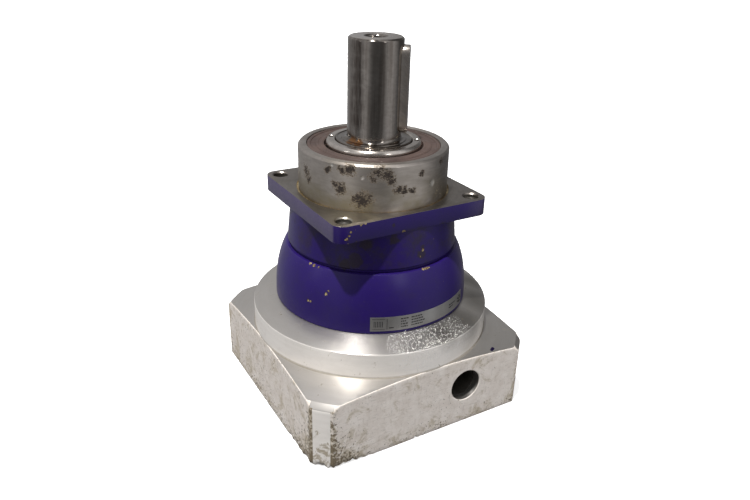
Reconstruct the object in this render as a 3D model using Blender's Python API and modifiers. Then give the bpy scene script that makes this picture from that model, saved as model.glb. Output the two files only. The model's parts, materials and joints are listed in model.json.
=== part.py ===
"""Inline planetary gear reducer: one planetary stage of ratio 4 between a motor clamp hub and a keyed
output shaft.

Metres, +Z up along the output shaft, origin on the shaft axis at the motor face. The access hole for
the clamp screw opens towards -Y. Each object in the collection "inline_gear_reducer" is one piece.
"""

import math

import bmesh
import bpy
from mathutils import Matrix, Vector

# Room left between two pieces that touch in the real reducer.
GAP = 0.0003

# Facets round a full turn.
OUTER_SIDES = 32
INNER_SIDES = 24
SMALL_SIDES = 10

# Part of a facet by which circles off the main axis are turned, so that their corners miss the edges
# of the turned pieces.
CUTTER_TURN = 0.37

# Where one solid is joined to another, or a cutter passes through a wall, it runs on by this much.
OVERRUN = 0.010

# Slots for the O-rings: depth, and the height of the lower one.
O_RING_SLOT_DEPTH = 0.0019
O_RING_SLOT_FLOOR = 0.0681
O_RING_SLOT_ROOF = 0.0705

# Output side, heights above the motor face.
SHAFT_R = 0.016
SHAFT_TOP = 0.224
SHOULDER_Z = 0.166
SHAFT_CHAMFER = 0.001
CENTRE_HOLE_R = 0.0051
CENTRE_HOLE_DEPTH = 0.030
COUNTERSINK_R = 0.007
PILOT_R = 0.045
PILOT_TOP = 0.163
PILOT_CHAMFER = 0.0012
RELIEF_R = 0.0462
RELIEF_DEPTH = 0.0008
FLANGE_SIDE = 0.101
FLANGE_CORNER_R = 0.007
FLANGE_TOP = 0.136
FLANGE_BOTTOM = 0.126
FLANGE_HOLE_R = 0.0045
FLANGE_HOLE_PCD = 0.120
NECK_TOP_R = 0.0502
NECK_FOOT_R = 0.0524
NECK_FOOT_Z = 0.1033
NECK_CHAMFER = 0.0008
JOINT_GROOVE_R = 0.0514
NECK_SPIGOT_CLEARANCE = 0.0004
NECK_SPIGOT_BOTTOM = 0.0980
NECK_SLOT_LOW = 0.0989
NECK_SLOT_HIGH = 0.1013
HOUSING_THREAD_TOP = 0.1125

# Output shaft key, DIN 6885 form A for a 32 mm shaft.
KEY_WIDTH = 0.010
KEY_LOW_R = 0.0113
KEY_TOP_R = 0.0193
KEY_BOTTOM = 0.170
KEY_TOP = 0.220
KEY_TURN = math.radians(-38.0)

# Gear housing: the painted bell between the neck and the adapter plate.
BELL_TOP_R = 0.0535
BELL_TOP = 0.1017
BELL_FOOT_R = 0.0605
BELL_FOOT = 0.0671
RING_SEAT_R = 0.0463
RING_SHOULDER_R = 0.043
RING_SHOULDER_Z = 0.0768
SPIGOT_SEAT_R = 0.0449
SPIGOT_SEAT_TOP = 0.0718
HOUSING_SCREW_LENGTH = 0.034
HOUSING_SCREW_SEAT = 0.0755
ADAPTER_THREAD_TOP = 0.0785

# Adapter plate for the motor.
PLATE_SIDE = 0.150
PLATE_CORNER_R = 0.0995
PLATE_CORNER_TOP = 0.0395
PLATE_CORNER_CHAMFER = 0.003
PLATE_TOP = 0.0464
PLATE_SLOPE = 0.17
DISC_R = 0.0749
DISC_RIM_TOP = 0.0622
DISC_CHAMFER = 0.0007
LAND_R = 0.0607
LAND_Z = 0.0668
MOTOR_PILOT_R = 0.0652
MOTOR_PILOT_DEPTH = 0.0062
HUB_ROOM_R = 0.0405
HUB_ROOM_TOP = 0.0402
SPIGOT_BORE_R = 0.0410
BEARING_SEAT_TOP = 0.0685
INPUT_SEAL_SEAT_R = 0.0313
INPUT_SEAL_SEAT_TOP = 0.0477
INPUT_SHOULDER_R = 0.0290
ADAPTER_SCREW_LENGTH = 0.0265
ADAPTER_SCREW_SEAT = 0.050
MOTOR_BOLT_PCD = 0.165
MOTOR_BOLT_R = 0.0045
MOTOR_THREAD_DEPTH = 0.028
ACCESS_X = 0.0253
ACCESS_Z = 0.0267
ACCESS_R = 0.0103

# Planetary stage.
MODULE = 0.0015
SUN_TEETH = 18
PLANET_TEETH = 18
RING_TEETH = 54
PRESSURE_ANGLE = math.radians(20.0)
TOOTH_THINNING = 0.00016
# Extra room in the tooth spaces of the ring gear, whose flanks are flat instead of curved.
FLAT_FLANK = 0.00020
CENTRE_DISTANCE = MODULE * (SUN_TEETH + PLANET_TEETH) / 2
GEAR_BOTTOM = 0.0781
GEAR_TOP = 0.0974
CARRIER_R = 0.0382
CARRIER_BOTTOM = 0.0708
CARRIER_TOP = 0.1055
CARRIER_NECK_R = 0.0320
CARRIER_EYE_R = 0.0162
POCKET_R = 0.0158
POCKET_BOTTOM = 0.0765
POCKET_TOP = 0.099
PIN_R = 0.006
PIN_BOTTOM = 0.0712
PIN_TOP = 0.1042
WASHER_THICKNESS = 0.001
PLANET_BORE_R = 0.0085
NEEDLE_R = 0.00095
NEEDLE_PITCH_R = 0.00725
NEEDLES = 12
NEEDLE_BOTTOM = 0.0786
NEEDLE_TOP = 0.0969
WASHER_R = 0.0105

# Output bearings: two taper roller bearings back to back, and the nut that sets them.
FRONT_BORE_R = 0.0228
REAR_BORE_R = 0.0253
BEARING_WALL = 0.0147
BEARING_WIDTH = 0.020
FRONT_BEARING_Z = 0.131
REAR_BEARING_Z = 0.107
BEARING_SHOULDER_R = 0.0355
SPACER_R = 0.029
ROLLERS = 10
ROLLER_BIG_R = 0.0034
ROLLER_SMALL_R = 0.0031
ROLLER_HALF = 0.0066
NUT_R = 0.0284
NUT_BOTTOM = 0.1513
NUT_TOP = 0.1654
SPANNER_HOLE_R = 0.00165
SPANNER_HOLE_DEPTH = 0.006
SPANNER_CIRCLE_R = 0.0255
SPANNER_TURN = math.radians(-125.0)
SEAL_R = 0.0396
SEAL_LIP_R = 0.0288
SEAL_BOTTOM = 0.1522
SEAL_TOP = 0.1626
SEAL_SHELL_R = 0.0325
SEAL_WEB_Z = 0.1560

# Input side: clamp hub, its bearing and its seal.
HUB_BOTTOM = 0.015
HUB_SLEEVE_R = 0.0197
INPUT_BORE_R = 0.014
INPUT_R = 0.020
CLAMP_R = 0.035
CLAMP_BORE_R = 0.020
CLAMP_WIDTH = 0.018
CLAMP_SLIT = 0.003
CLAMP_HEAD_Y = -0.010
INPUT_BEARING_Z = 0.0493
INPUT_BEARING_WIDTH = 0.015
INPUT_BEARING_BORE_R = 0.0203
INPUT_BEARING_R = 0.034
BALL_CIRCLE_R = 0.027
BALL_R = 0.0034
RACE_R = 0.0041
RACE_INNER_LIP_R = 0.0243
RACE_OUTER_LIP_R = 0.0297
BALL_CAGE_INNER_R = 0.0262
BALL_CAGE_OUTER_R = 0.0278
BALL_CAGE_HALF = 0.0014
BALLS = 8
CIRCLIP_BOTTOM = 0.0648
CIRCLIP_THICKNESS = 0.0012
BORE_CIRCLIP = (0.0312, 0.0355)
SHAFT_CIRCLIP = (0.0192, 0.0232)
BORE_CIRCLIP_SLOT_DEPTH = 0.0015
SHAFT_CIRCLIP_SLOT_DEPTH = 0.0011
HUB_SLOT_HALF_WIDTH = 0.0012
HUB_SLOT_TOP = 0.0392
SUN_SOCKET_R = 0.0083
SUN_SOCKET_FLOOR = 0.0645
SUN_SHANK_R = 0.0080
SUN_SHANK_BOTTOM = 0.0650
SUN_GEAR_BOTTOM = 0.0772
INPUT_NOSE_R = 0.0138
INPUT_NOSE_TOP = 0.0769
INPUT_NOSE_FOOT = 0.0682
INPUT_COLLAR_R = 0.0225
INPUT_COLLAR_BOTTOM = 0.0478
INPUT_BORE_TOP = 0.0620
VENT_R = 0.0040
CLAMP_SCREW_LENGTH = 0.027

# Screws: shank radius, head radius, head height, across-flats of the socket.
M4 = (0.00190, 0.0033, 0.0038, 0.003)
M6 = (0.00290, 0.0049, 0.0058, 0.005)
M8 = (0.00390, 0.0064, 0.0078, 0.006)
HOUSING_SCREW_R = 0.049
ADAPTER_SCREW_R = 0.0535

# O-rings: radius of the ring, height of its middle, radius of its cord.
OUTPUT_O_RING = (0.0450, 0.1001, 0.00075)
ADAPTER_O_RING = (0.04375, 0.0693, 0.0007)

# Nameplate: its span round the bell, counted from -Y towards +X.
PLATE_FROM = math.radians(-30.0)
PLATE_TO = math.radians(37.0)
PLATE_LOW = 0.0690
PLATE_HIGH = 0.0779
LABEL_THICKNESS = 0.0004


def clear_scene():
    for obj in list(bpy.data.objects):
        bpy.data.objects.remove(obj, do_unlink=True)
    for collection in list(bpy.data.collections):
        bpy.data.collections.remove(collection)


def new_collection(name):
    collection = bpy.data.collections.new(name)
    bpy.context.scene.collection.children.link(collection)
    return collection


clear_scene()
PARTS = new_collection("inline_gear_reducer")
CUTTERS = new_collection("cutters")


def place(name, mesh, collection=None):
    """An object that holds this mesh, shaded smooth with its hard edges kept."""
    obj = bpy.data.objects.new(name, mesh)
    (collection or CUTTERS).objects.link(obj)
    if collection is None:
        obj.hide_render = True
        obj.display_type = "WIRE"
    mesh.shade_smooth()
    mesh.set_sharp_from_angle(angle=math.radians(32.0))
    return obj


def mesh_of(source):
    """The evaluated mesh of a helper object, welded, facing out, in world space. The helper is removed."""
    bpy.context.view_layer.update()
    graph = bpy.context.evaluated_depsgraph_get()
    mesh = bpy.data.meshes.new_from_object(source.evaluated_get(graph))
    mesh.transform(source.matrix_world)
    bpy.data.objects.remove(source, do_unlink=True)
    work = bmesh.new()
    work.from_mesh(mesh)
    bmesh.ops.remove_doubles(work, verts=work.verts, dist=1e-7)
    bmesh.ops.recalc_face_normals(work, faces=work.faces)
    work.to_mesh(mesh)
    work.free()
    return mesh


def turned(name, profile, sides, collection=None, ring=True):
    """A turned piece. The (radius, height) profile runs down its outer side. A ring's profile closes on
    itself; any other starts and ends on the axis."""
    mesh = bpy.data.meshes.new(name)
    count = len(profile)
    edges = [(i, (i + 1) % count) for i in range(count if ring else count - 1)]
    mesh.from_pydata([(r, 0.0, z) for r, z in profile], edges, [])
    source = bpy.data.objects.new(name + "_profile", mesh)
    CUTTERS.objects.link(source)
    screw = source.modifiers.new("Turn", "SCREW")
    screw.axis = "Z"
    screw.angle = math.tau
    screw.steps = sides
    screw.render_steps = sides
    screw.use_merge_vertices = True
    screw.merge_threshold = 0.00001
    return place(name, mesh_of(source), collection)


def extruded(name, outlines, low, high, collection=None):
    """A flat outline, with any holes as further outlines, drawn out from low to high."""
    curve = bpy.data.curves.new(name, "CURVE")
    curve.dimensions = "2D"
    curve.fill_mode = "BOTH"
    curve.extrude = (high - low) / 2
    for outline in outlines:
        spline = curve.splines.new("POLY")
        spline.points.add(len(outline) - 1)
        for point, (x, y) in zip(spline.points, outline):
            point.co = (x, y, 0.0, 1.0)
        spline.use_cyclic_u = True
    source = bpy.data.objects.new(name + "_outline", curve)
    source.location.z = (low + high) / 2
    CUTTERS.objects.link(source)
    return place(name, mesh_of(source), collection)


def circle(radius, sides, x=0.0, y=0.0):
    """Points round a circle. One off the main axis is turned by a part of a facet, so that its corners
    miss the edges of the turned pieces."""
    first = CUTTER_TURN if x or y else 0.0
    angles = [math.tau * (i + first) / sides for i in range(sides)]
    return [(x + radius * math.cos(a), y + radius * math.sin(a)) for a in angles]


def rounded_square(side, corner):
    points = []
    for quarter in range(4):
        for step in range(4):
            angle = math.pi / 2 * (quarter + step / 3)
            turn = math.pi / 4 + math.pi / 2 * quarter
            reach = (side / 2 - corner) * math.sqrt(2.0)
            points.append(
                (
                    reach * math.cos(turn) + corner * math.cos(angle),
                    reach * math.sin(turn) + corner * math.sin(angle),
                )
            )
    return points


def rod(name, radius, low, high, sides=SMALL_SIDES, at=(0.0, 0.0), collection=None):
    """An upright cylinder."""
    return extruded(name, [circle(radius, sides, *at)], low, high, collection)


def stepped_hole(name, wide, narrow, low, step, high, at):
    """A cutter for a counterbored screw hole, wide from low to step and narrow from there to high."""
    hole = turned(
        name,
        [(0.0, high), (narrow, high), (narrow, step), (wide, step), (wide, low), (0.0, low)],
        SMALL_SIDES,
        ring=False,
    )
    return turn_mesh(hole, Matrix.Translation((*at, 0.0)) @ Matrix.Rotation(CUTTER_TURN, 4, "Z"))


def box(name, low, high):
    bpy.ops.mesh.primitive_cube_add(size=1.0)
    mesh = bpy.context.active_object.data
    bpy.data.objects.remove(bpy.context.active_object, do_unlink=True)
    size = Vector(high) - Vector(low)
    middle = (Vector(high) + Vector(low)) / 2
    mesh.transform(Matrix.Translation(middle) @ Matrix.Diagonal((*size, 1.0)))
    return place(name, mesh)


def combine(obj, other, operation):
    step = obj.modifiers.new(other.name, "BOOLEAN")
    step.operation = operation
    step.solver = "EXACT"
    step.object = other


def cut(obj, *cutters):
    for cutter in cutters:
        combine(obj, cutter, "DIFFERENCE")


def join(obj, *others):
    for other in others:
        combine(obj, other, "UNION")


def turn_mesh(obj, matrix):
    obj.data.transform(matrix)
    return obj


def spun(radius, angle):
    return (radius * math.cos(angle), radius * math.sin(angle))


def finish(obj, colour, metallic, roughness):
    material = bpy.data.materials.new(obj.name)
    material.use_nodes = True
    shader = material.node_tree.nodes["Principled BSDF"]
    shader.inputs["Base Color"].default_value = (*colour, 1.0)
    shader.inputs["Metallic"].default_value = metallic
    shader.inputs["Roughness"].default_value = roughness
    obj.data.materials.clear()
    obj.data.materials.append(material)


def finish_steel(obj):
    finish(obj, (0.36, 0.35, 0.34), 1.0, 0.32)


def finish_paint(obj):
    finish(obj, (0.045, 0.030, 0.125), 0.0, 0.42)


def finish_rubber(obj):
    finish(obj, (0.09, 0.055, 0.045), 0.0, 0.6)


# ---------------------------------------------------------------- gear teeth


def involute(angle):
    return math.tan(angle) - angle


def half_angle(radius, teeth, play):
    """Half the angle that a tooth of an external gear fills at this radius."""
    pitch = MODULE * teeth / 2
    base = pitch * math.cos(PRESSURE_ANGLE)
    at_pitch = math.pi / (2 * teeth) + play / (2 * pitch)
    here = math.acos(min(1.0, base / radius))
    return at_pitch + involute(PRESSURE_ANGLE) - involute(here)


def tooth_outline(teeth, radii, halves, first_turn):
    """One closed outline: up one flank of each tooth and down the other."""
    points = []
    for tooth in range(teeth):
        middle = first_turn + math.tau * tooth / teeth
        for radius, half in zip(radii, halves):
            points.append(spun(radius, middle - half))
        for radius, half in zip(reversed(radii), reversed(halves)):
            points.append(spun(radius, middle + half))
    return points


def external_teeth(teeth, first_turn):
    pitch = MODULE * teeth / 2
    radii = [pitch - 1.25 * MODULE, pitch, pitch + MODULE]
    halves = [half_angle(r, teeth, -TOOTH_THINNING) for r in radii]
    return tooth_outline(teeth, radii, halves, first_turn)


def internal_teeth(teeth):
    """The outline inside a ring gear, whose tooth spaces have the shape of external teeth."""
    pitch = MODULE * teeth / 2
    radii = [pitch - MODULE, pitch + 1.25 * MODULE]
    halves = [half_angle(r, teeth, TOOTH_THINNING + FLAT_FLANK) for r in radii]
    return tooth_outline(teeth, radii, halves, math.pi / teeth)


# ---------------------------------------------------------------- screws and rings


def cap_screw(name, size, length, colour=(0.06, 0.06, 0.065)):
    """A socket head cap screw. Its head rests at height zero, head down, shank up."""
    shank, head, tall, flats = size
    profile = [(0.0, length), (shank, length), (shank, 0.0), (head, 0.0), (head, -tall), (0.0, -tall)]
    screw = turned(name, profile, SMALL_SIDES, PARTS, ring=False)
    socket = rod(name + "_socket", flats / math.sqrt(3.0), -tall - 0.001, -tall * 0.45, 6)
    finish(screw, colour, 1.0, 0.45)
    return screw, socket


def upright_screw(name, size, length, radius, angle, seat):
    screw, socket = cap_screw(name, size, length)
    shift = Matrix.Translation((*spun(radius, angle), seat))
    turn_mesh(screw, shift)
    turn_mesh(socket, shift)
    cut(screw, socket)


def o_ring(name, radius, height, section):
    angles = [math.tau * i / 6 for i in range(6)]
    profile = [(radius + section * math.sin(a), height + section * math.cos(a)) for a in angles]
    finish(turned(name, profile, OUTER_SIDES, PARTS), (0.02, 0.02, 0.02), 0.0, 0.6)


def circlip(name, inner, outer, turn):
    ring = extruded(
        name,
        [circle(outer, INNER_SIDES), circle(inner, INNER_SIDES)],
        CIRCLIP_BOTTOM,
        CIRCLIP_BOTTOM + CIRCLIP_THICKNESS,
        PARTS,
    )
    opening = box(name + "_opening", (0.0, -0.003, 0.05), (0.06, 0.003, 0.08))
    turn_mesh(opening, Matrix.Rotation(turn, 4, "Z"))
    cut(ring, opening)
    finish(ring, (0.10, 0.10, 0.11), 1.0, 0.4)


# ---------------------------------------------------------------- housing pieces


def build_output_housing():
    """Pilot, square flange and neck, bored for the seal and both taper bearings."""
    spigot_r = RING_SEAT_R - NECK_SPIGOT_CLEARANCE
    rear_seat = REAR_BORE_R + BEARING_WALL + GAP
    front_seat = FRONT_BORE_R + BEARING_WALL + GAP
    profile = [
        (SEAL_R + GAP, PILOT_TOP),
        (PILOT_R - PILOT_CHAMFER, PILOT_TOP),
        (PILOT_R, PILOT_TOP - PILOT_CHAMFER),
        (PILOT_R, FLANGE_TOP - RELIEF_DEPTH),
        (NECK_TOP_R - 0.0001, FLANGE_TOP - RELIEF_DEPTH),
        (NECK_TOP_R, FLANGE_BOTTOM),
        (NECK_FOOT_R, NECK_FOOT_Z + NECK_CHAMFER),
        (NECK_FOOT_R - NECK_CHAMFER, NECK_FOOT_Z),
        (JOINT_GROOVE_R, NECK_FOOT_Z),
        (JOINT_GROOVE_R, BELL_TOP + GAP),
        (spigot_r, BELL_TOP + GAP),
        (spigot_r, NECK_SLOT_HIGH),
        (spigot_r - O_RING_SLOT_DEPTH, NECK_SLOT_HIGH),
        (spigot_r - O_RING_SLOT_DEPTH, NECK_SLOT_LOW),
        (spigot_r, NECK_SLOT_LOW),
        (spigot_r, NECK_SPIGOT_BOTTOM),
        (rear_seat, NECK_SPIGOT_BOTTOM),
        (rear_seat, REAR_BEARING_Z + BEARING_WIDTH + GAP),
        (BEARING_SHOULDER_R, REAR_BEARING_Z + BEARING_WIDTH + GAP),
        (BEARING_SHOULDER_R, FRONT_BEARING_Z - GAP),
        (front_seat, FRONT_BEARING_Z - GAP),
        (front_seat, NUT_BOTTOM),
        (SEAL_R + GAP, NUT_BOTTOM),
    ]
    housing = turned("output_housing", profile, OUTER_SIDES, PARTS)
    outlines = [
        rounded_square(FLANGE_SIDE, FLANGE_CORNER_R),
        circle(RELIEF_R, OUTER_SIDES),
    ]
    for quarter in range(4):
        at = spun(FLANGE_HOLE_PCD / 2, math.pi / 4 + math.pi / 2 * quarter)
        outlines.append(circle(FLANGE_HOLE_R, SMALL_SIDES, *at))
    join(housing, extruded("flange", outlines, FLANGE_BOTTOM, FLANGE_TOP))
    for quarter in range(4):
        at = spun(HOUSING_SCREW_R, math.pi / 4 + math.pi / 2 * quarter)
        thread = f"housing_thread_{quarter + 1}"
        low = NECK_SPIGOT_BOTTOM - 0.008
        cut(housing, rod(thread, M4[0] + GAP, low, HOUSING_THREAD_TOP, SMALL_SIDES, at))
    finish_paint(housing)


def bell_radius(height):
    """Outside radius of the bell: nearly upright at its foot, rounding in towards the top."""
    down = (BELL_TOP - height) / (BELL_TOP - BELL_FOOT)
    return BELL_TOP_R + (BELL_FOOT_R - BELL_TOP_R) * (1 - (1 - down) ** 2.5) ** 0.9


def build_gear_housing():
    heights = [BELL_TOP + (BELL_FOOT - BELL_TOP) * s for s in (0, 0.06, 0.16, 0.3, 0.46, 0.65, 1)]
    profile = [(bell_radius(z), z) for z in heights]
    profile += [
        (SPIGOT_SEAT_R, BELL_FOOT),
        (SPIGOT_SEAT_R, SPIGOT_SEAT_TOP),
        (RING_SHOULDER_R, SPIGOT_SEAT_TOP),
        (RING_SHOULDER_R, RING_SHOULDER_Z),
        (RING_SEAT_R, RING_SHOULDER_Z),
        (RING_SEAT_R, BELL_TOP),
    ]
    bell = turned("gear_housing", profile, OUTER_SIDES, PARTS)
    for quarter in range(4):
        at = spun(HOUSING_SCREW_R, math.pi / 4 + math.pi / 2 * quarter)
        hole = f"bell_hole_{quarter + 1}"
        below = BELL_FOOT - 0.0071
        above = BELL_TOP + 0.0083
        cut(bell, stepped_hole(hole, M4[1] + GAP, M4[0] + GAP, below, HOUSING_SCREW_SEAT, above, at))
        at = spun(ADAPTER_SCREW_R, math.pi / 2 * quarter)
        thread = f"bell_thread_{quarter + 1}"
        cut(bell, rod(thread, M6[0] + GAP, below, ADAPTER_THREAD_TOP, SMALL_SIDES, at))
        upright_screw(
            f"housing_screw_{quarter + 1}",
            M4,
            HOUSING_SCREW_LENGTH,
            HOUSING_SCREW_R,
            math.pi / 4 + math.pi / 2 * quarter,
            HOUSING_SCREW_SEAT - GAP,
        )
    finish_paint(bell)


def build_adapter_plate():
    """Motor adapter: a square block with turned corners under a conical disc, bored for the clamp hub,
    the input seal and the input bearing."""
    corner_top = PLATE_TOP - PLATE_SLOPE * (PLATE_CORNER_R - PLATE_CORNER_CHAMFER - DISC_R)
    spigot_r = SPIGOT_SEAT_R - GAP
    spigot_top = SPIGOT_SEAT_TOP - GAP
    bearing_seat = INPUT_BEARING_R + GAP
    slot_r = bearing_seat + BORE_CIRCLIP_SLOT_DEPTH
    profile = [
        (SPIGOT_BORE_R, spigot_top),
        (spigot_r, spigot_top),
        (spigot_r, O_RING_SLOT_ROOF),
        (spigot_r - O_RING_SLOT_DEPTH, O_RING_SLOT_ROOF),
        (spigot_r - O_RING_SLOT_DEPTH, O_RING_SLOT_FLOOR),
        (spigot_r, O_RING_SLOT_FLOOR),
        (spigot_r, LAND_Z),
        (LAND_R, LAND_Z),
        (DISC_R - DISC_CHAMFER, DISC_RIM_TOP + 0.0002),
        (DISC_R, DISC_RIM_TOP - DISC_CHAMFER),
        (DISC_R, PLATE_TOP),
        (PLATE_CORNER_R - PLATE_CORNER_CHAMFER, corner_top),
        (PLATE_CORNER_R, PLATE_CORNER_TOP),
        (PLATE_CORNER_R, 0.0005),
        (PLATE_CORNER_R - 0.0005, 0.0),
        (MOTOR_PILOT_R, 0.0),
        (MOTOR_PILOT_R, MOTOR_PILOT_DEPTH),
        (HUB_ROOM_R, MOTOR_PILOT_DEPTH),
        (HUB_ROOM_R, HUB_ROOM_TOP),
        (INPUT_SEAL_SEAT_R, HUB_ROOM_TOP),
        (INPUT_SEAL_SEAT_R, INPUT_SEAL_SEAT_TOP),
        (INPUT_SHOULDER_R, INPUT_SEAL_SEAT_TOP),
        (INPUT_SHOULDER_R, INPUT_BEARING_Z - GAP),
        (bearing_seat, INPUT_BEARING_Z - GAP),
        (bearing_seat, CIRCLIP_BOTTOM - GAP),
        (slot_r, CIRCLIP_BOTTOM - GAP),
        (slot_r, CIRCLIP_BOTTOM + CIRCLIP_THICKNESS + GAP),
        (bearing_seat, CIRCLIP_BOTTOM + CIRCLIP_THICKNESS + GAP),
        (bearing_seat, BEARING_SEAT_TOP),
        (SPIGOT_BORE_R, BEARING_SEAT_TOP),
    ]
    plate = turned("adapter_plate", profile, OUTER_SIDES, PARTS)
    half = PLATE_SIDE / 2
    square = box("plate_square", (-half, -half, -OVERRUN), (half, half, 0.09))
    combine(plate, square, "INTERSECT")
    access = turned(
        "access_hole",
        [(0.0, 0.08), (ACCESS_R, 0.08), (ACCESS_R, 0.02), (0.0, 0.02)],
        16,
        ring=False,
    )
    towards_front = Matrix.Rotation(math.pi / 2, 4, "X")
    turn_mesh(access, Matrix.Translation((ACCESS_X, 0.0, ACCESS_Z)) @ towards_front)
    cut(plate, access)
    for quarter in range(4):
        at = spun(MOTOR_BOLT_PCD / 2, math.pi / 4 + math.pi / 2 * quarter)
        thread = f"motor_thread_{quarter + 1}"
        cut(plate, rod(thread, MOTOR_BOLT_R, -OVERRUN, MOTOR_THREAD_DEPTH, SMALL_SIDES, at))
        at = spun(ADAPTER_SCREW_R, math.pi / 2 * quarter)
        hole = f"adapter_hole_{quarter + 1}"
        wide = M6[1] + 2 * GAP
        above = spigot_top + 0.0085
        cut(plate, stepped_hole(hole, wide, M6[0] + GAP, -OVERRUN, ADAPTER_SCREW_SEAT, above, at))
        upright_screw(
            f"adapter_screw_{quarter + 1}",
            M6,
            ADAPTER_SCREW_LENGTH,
            ADAPTER_SCREW_R,
            math.pi / 2 * quarter,
            ADAPTER_SCREW_SEAT - GAP,
        )
    finish(plate, (0.62, 0.62, 0.60), 1.0, 0.38)


def build_nameplate():
    """A thin sticker bent round the bell just above its foot."""
    inside = GAP
    outside = GAP + LABEL_THICKNESS
    profile = [
        (bell_radius(PLATE_HIGH) + outside, PLATE_HIGH),
        (bell_radius(PLATE_LOW) + outside, PLATE_LOW),
        (bell_radius(PLATE_LOW) + inside, PLATE_LOW),
        (bell_radius(PLATE_HIGH) + inside, PLATE_HIGH),
    ]
    label = turned("nameplate", profile, 60, PARTS)
    reach = 0.09
    spread = [-math.pi / 2 + PLATE_FROM, -math.pi / 2 + PLATE_TO]
    middle = sum(spread) / 2
    wedge = [(0.0, 0.0), spun(reach, spread[0]), spun(reach, middle), spun(reach, spread[1])]
    combine(label, extruded("label_wedge", [wedge], 0.05, 0.10), "INTERSECT")
    finish(label, (0.62, 0.62, 0.64), 0.6, 0.35)


# ---------------------------------------------------------------- bearings and seals


def taper_bearing(prefix, bore, base, big_end_up):
    """Cone, cup and roller set of a taper roller bearing. Heights run from base; big_end_up tells which
    way the rollers widen."""
    side = 1.0 if big_end_up else -1.0
    middle = base + BEARING_WIDTH / 2
    low = -BEARING_WIDTH / 2
    cone_slope = 0.194
    cup_slope = 0.249
    cone_mid = bore + 0.0042
    cup_mid = bore + 0.0118
    big_rib = bore + 0.0075
    small_rib = bore + 0.0036
    big_face = 0.0100
    race_top = 0.0076
    race_foot = -0.0072
    cup_face = 0.0075

    def at(radius, along):
        return (radius, middle + side * along)

    def ordered(profile):
        return profile if big_end_up else list(reversed(profile))

    cone = [
        at(big_rib, big_face),
        at(big_rib, race_top),
        at(cone_mid + cone_slope * race_top, race_top),
        at(cone_mid + cone_slope * race_foot, race_foot),
        at(small_rib, race_foot),
        at(small_rib, low),
        at(bore, low),
        at(bore, big_face),
    ]
    cup = [
        at(bore + BEARING_WALL, cup_face),
        at(bore + BEARING_WALL, low),
        at(cup_mid + cup_slope * low, low),
        at(cup_mid + cup_slope * cup_face, cup_face),
    ]
    cage_mid = (cone_mid + cup_mid) / 2
    tilt = math.atan((cone_slope + cup_slope) / 2)
    cage_half = 0.0082
    cage_wall = 0.0012
    cage = [
        at(cage_mid + 0.0024, cage_half),
        at(cage_mid - 0.0013, -cage_half),
        at(cage_mid - 0.0013 - cage_wall, -cage_half),
        at(cage_mid + 0.0024 - cage_wall, cage_half),
    ]
    finish_steel(turned(prefix + "_inner_ring", ordered(cone), INNER_SIDES, PARTS))
    finish_steel(turned(prefix + "_outer_ring", ordered(cup), INNER_SIDES, PARTS))
    rollers = turned(prefix + "_roller_set", ordered(cage), INNER_SIDES, PARTS)
    for i in range(ROLLERS):
        roller = turned(
            f"{prefix}_roller_{i + 1}",
            [
                (0.0, ROLLER_HALF),
                (ROLLER_BIG_R, ROLLER_HALF),
                (ROLLER_SMALL_R, -ROLLER_HALF),
                (0.0, -ROLLER_HALF),
            ],
            8,
            ring=False,
        )
        lean = Matrix.Rotation(tilt, 4, "Y")
        flip = Matrix.Identity(4) if big_end_up else Matrix.Rotation(math.pi, 4, "X")
        out = Matrix.Translation((cage_mid, 0.0, middle))
        turn_mesh(roller, Matrix.Rotation(math.tau * i / ROLLERS, 4, "Z") @ out @ flip @ lean)
        join(rollers, roller)
    finish_steel(rollers)


def input_bearing():
    """Deep groove ball bearing of the clamp hub."""
    low = INPUT_BEARING_Z
    high = INPUT_BEARING_Z + INPUT_BEARING_WIDTH
    middle = (low + high) / 2

    def groove_point(step, outward):
        """Points along the race, from its upper edge to its lower one."""
        widest = math.acos((BALL_CIRCLE_R - RACE_INNER_LIP_R) / RACE_R)
        angle = widest * (1 - step)
        return (
            BALL_CIRCLE_R + outward * RACE_R * math.cos(angle),
            middle + RACE_R * math.sin(angle),
        )

    inner = [(RACE_INNER_LIP_R, high)]
    inner += [groove_point(step, -1.0) for step in range(3)]
    inner += [(RACE_INNER_LIP_R, low), (INPUT_BEARING_BORE_R, low), (INPUT_BEARING_BORE_R, high)]
    outer = [(INPUT_BEARING_R, high), (INPUT_BEARING_R, low), (RACE_OUTER_LIP_R, low)]
    outer += [groove_point(step, 1.0) for step in range(2, -1, -1)]
    outer += [(RACE_OUTER_LIP_R, high)]
    finish_steel(turned("input_bearing_inner_ring", inner, INNER_SIDES, PARTS))
    finish_steel(turned("input_bearing_outer_ring", outer, INNER_SIDES, PARTS))
    cage = [
        (BALL_CAGE_OUTER_R, middle + BALL_CAGE_HALF),
        (BALL_CAGE_OUTER_R, middle - BALL_CAGE_HALF),
        (BALL_CAGE_INNER_R, middle - BALL_CAGE_HALF),
        (BALL_CAGE_INNER_R, middle + BALL_CAGE_HALF),
    ]
    balls = turned("input_bearing_ball_set", cage, INNER_SIDES, PARTS)
    for i in range(BALLS):
        arc = [math.pi * step / 5 for step in range(6)]
        profile = [(BALL_R * math.sin(a), BALL_R * math.cos(a)) for a in arc]
        profile[0] = (0.0, BALL_R)
        profile[-1] = (0.0, -BALL_R)
        ball = turned(f"ball_{i + 1}", profile, 8, ring=False)
        where = (*spun(BALL_CIRCLE_R, math.tau * i / BALLS), middle)
        turn_mesh(ball, Matrix.Translation(where))
        join(balls, ball)
    finish_steel(balls)


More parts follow.
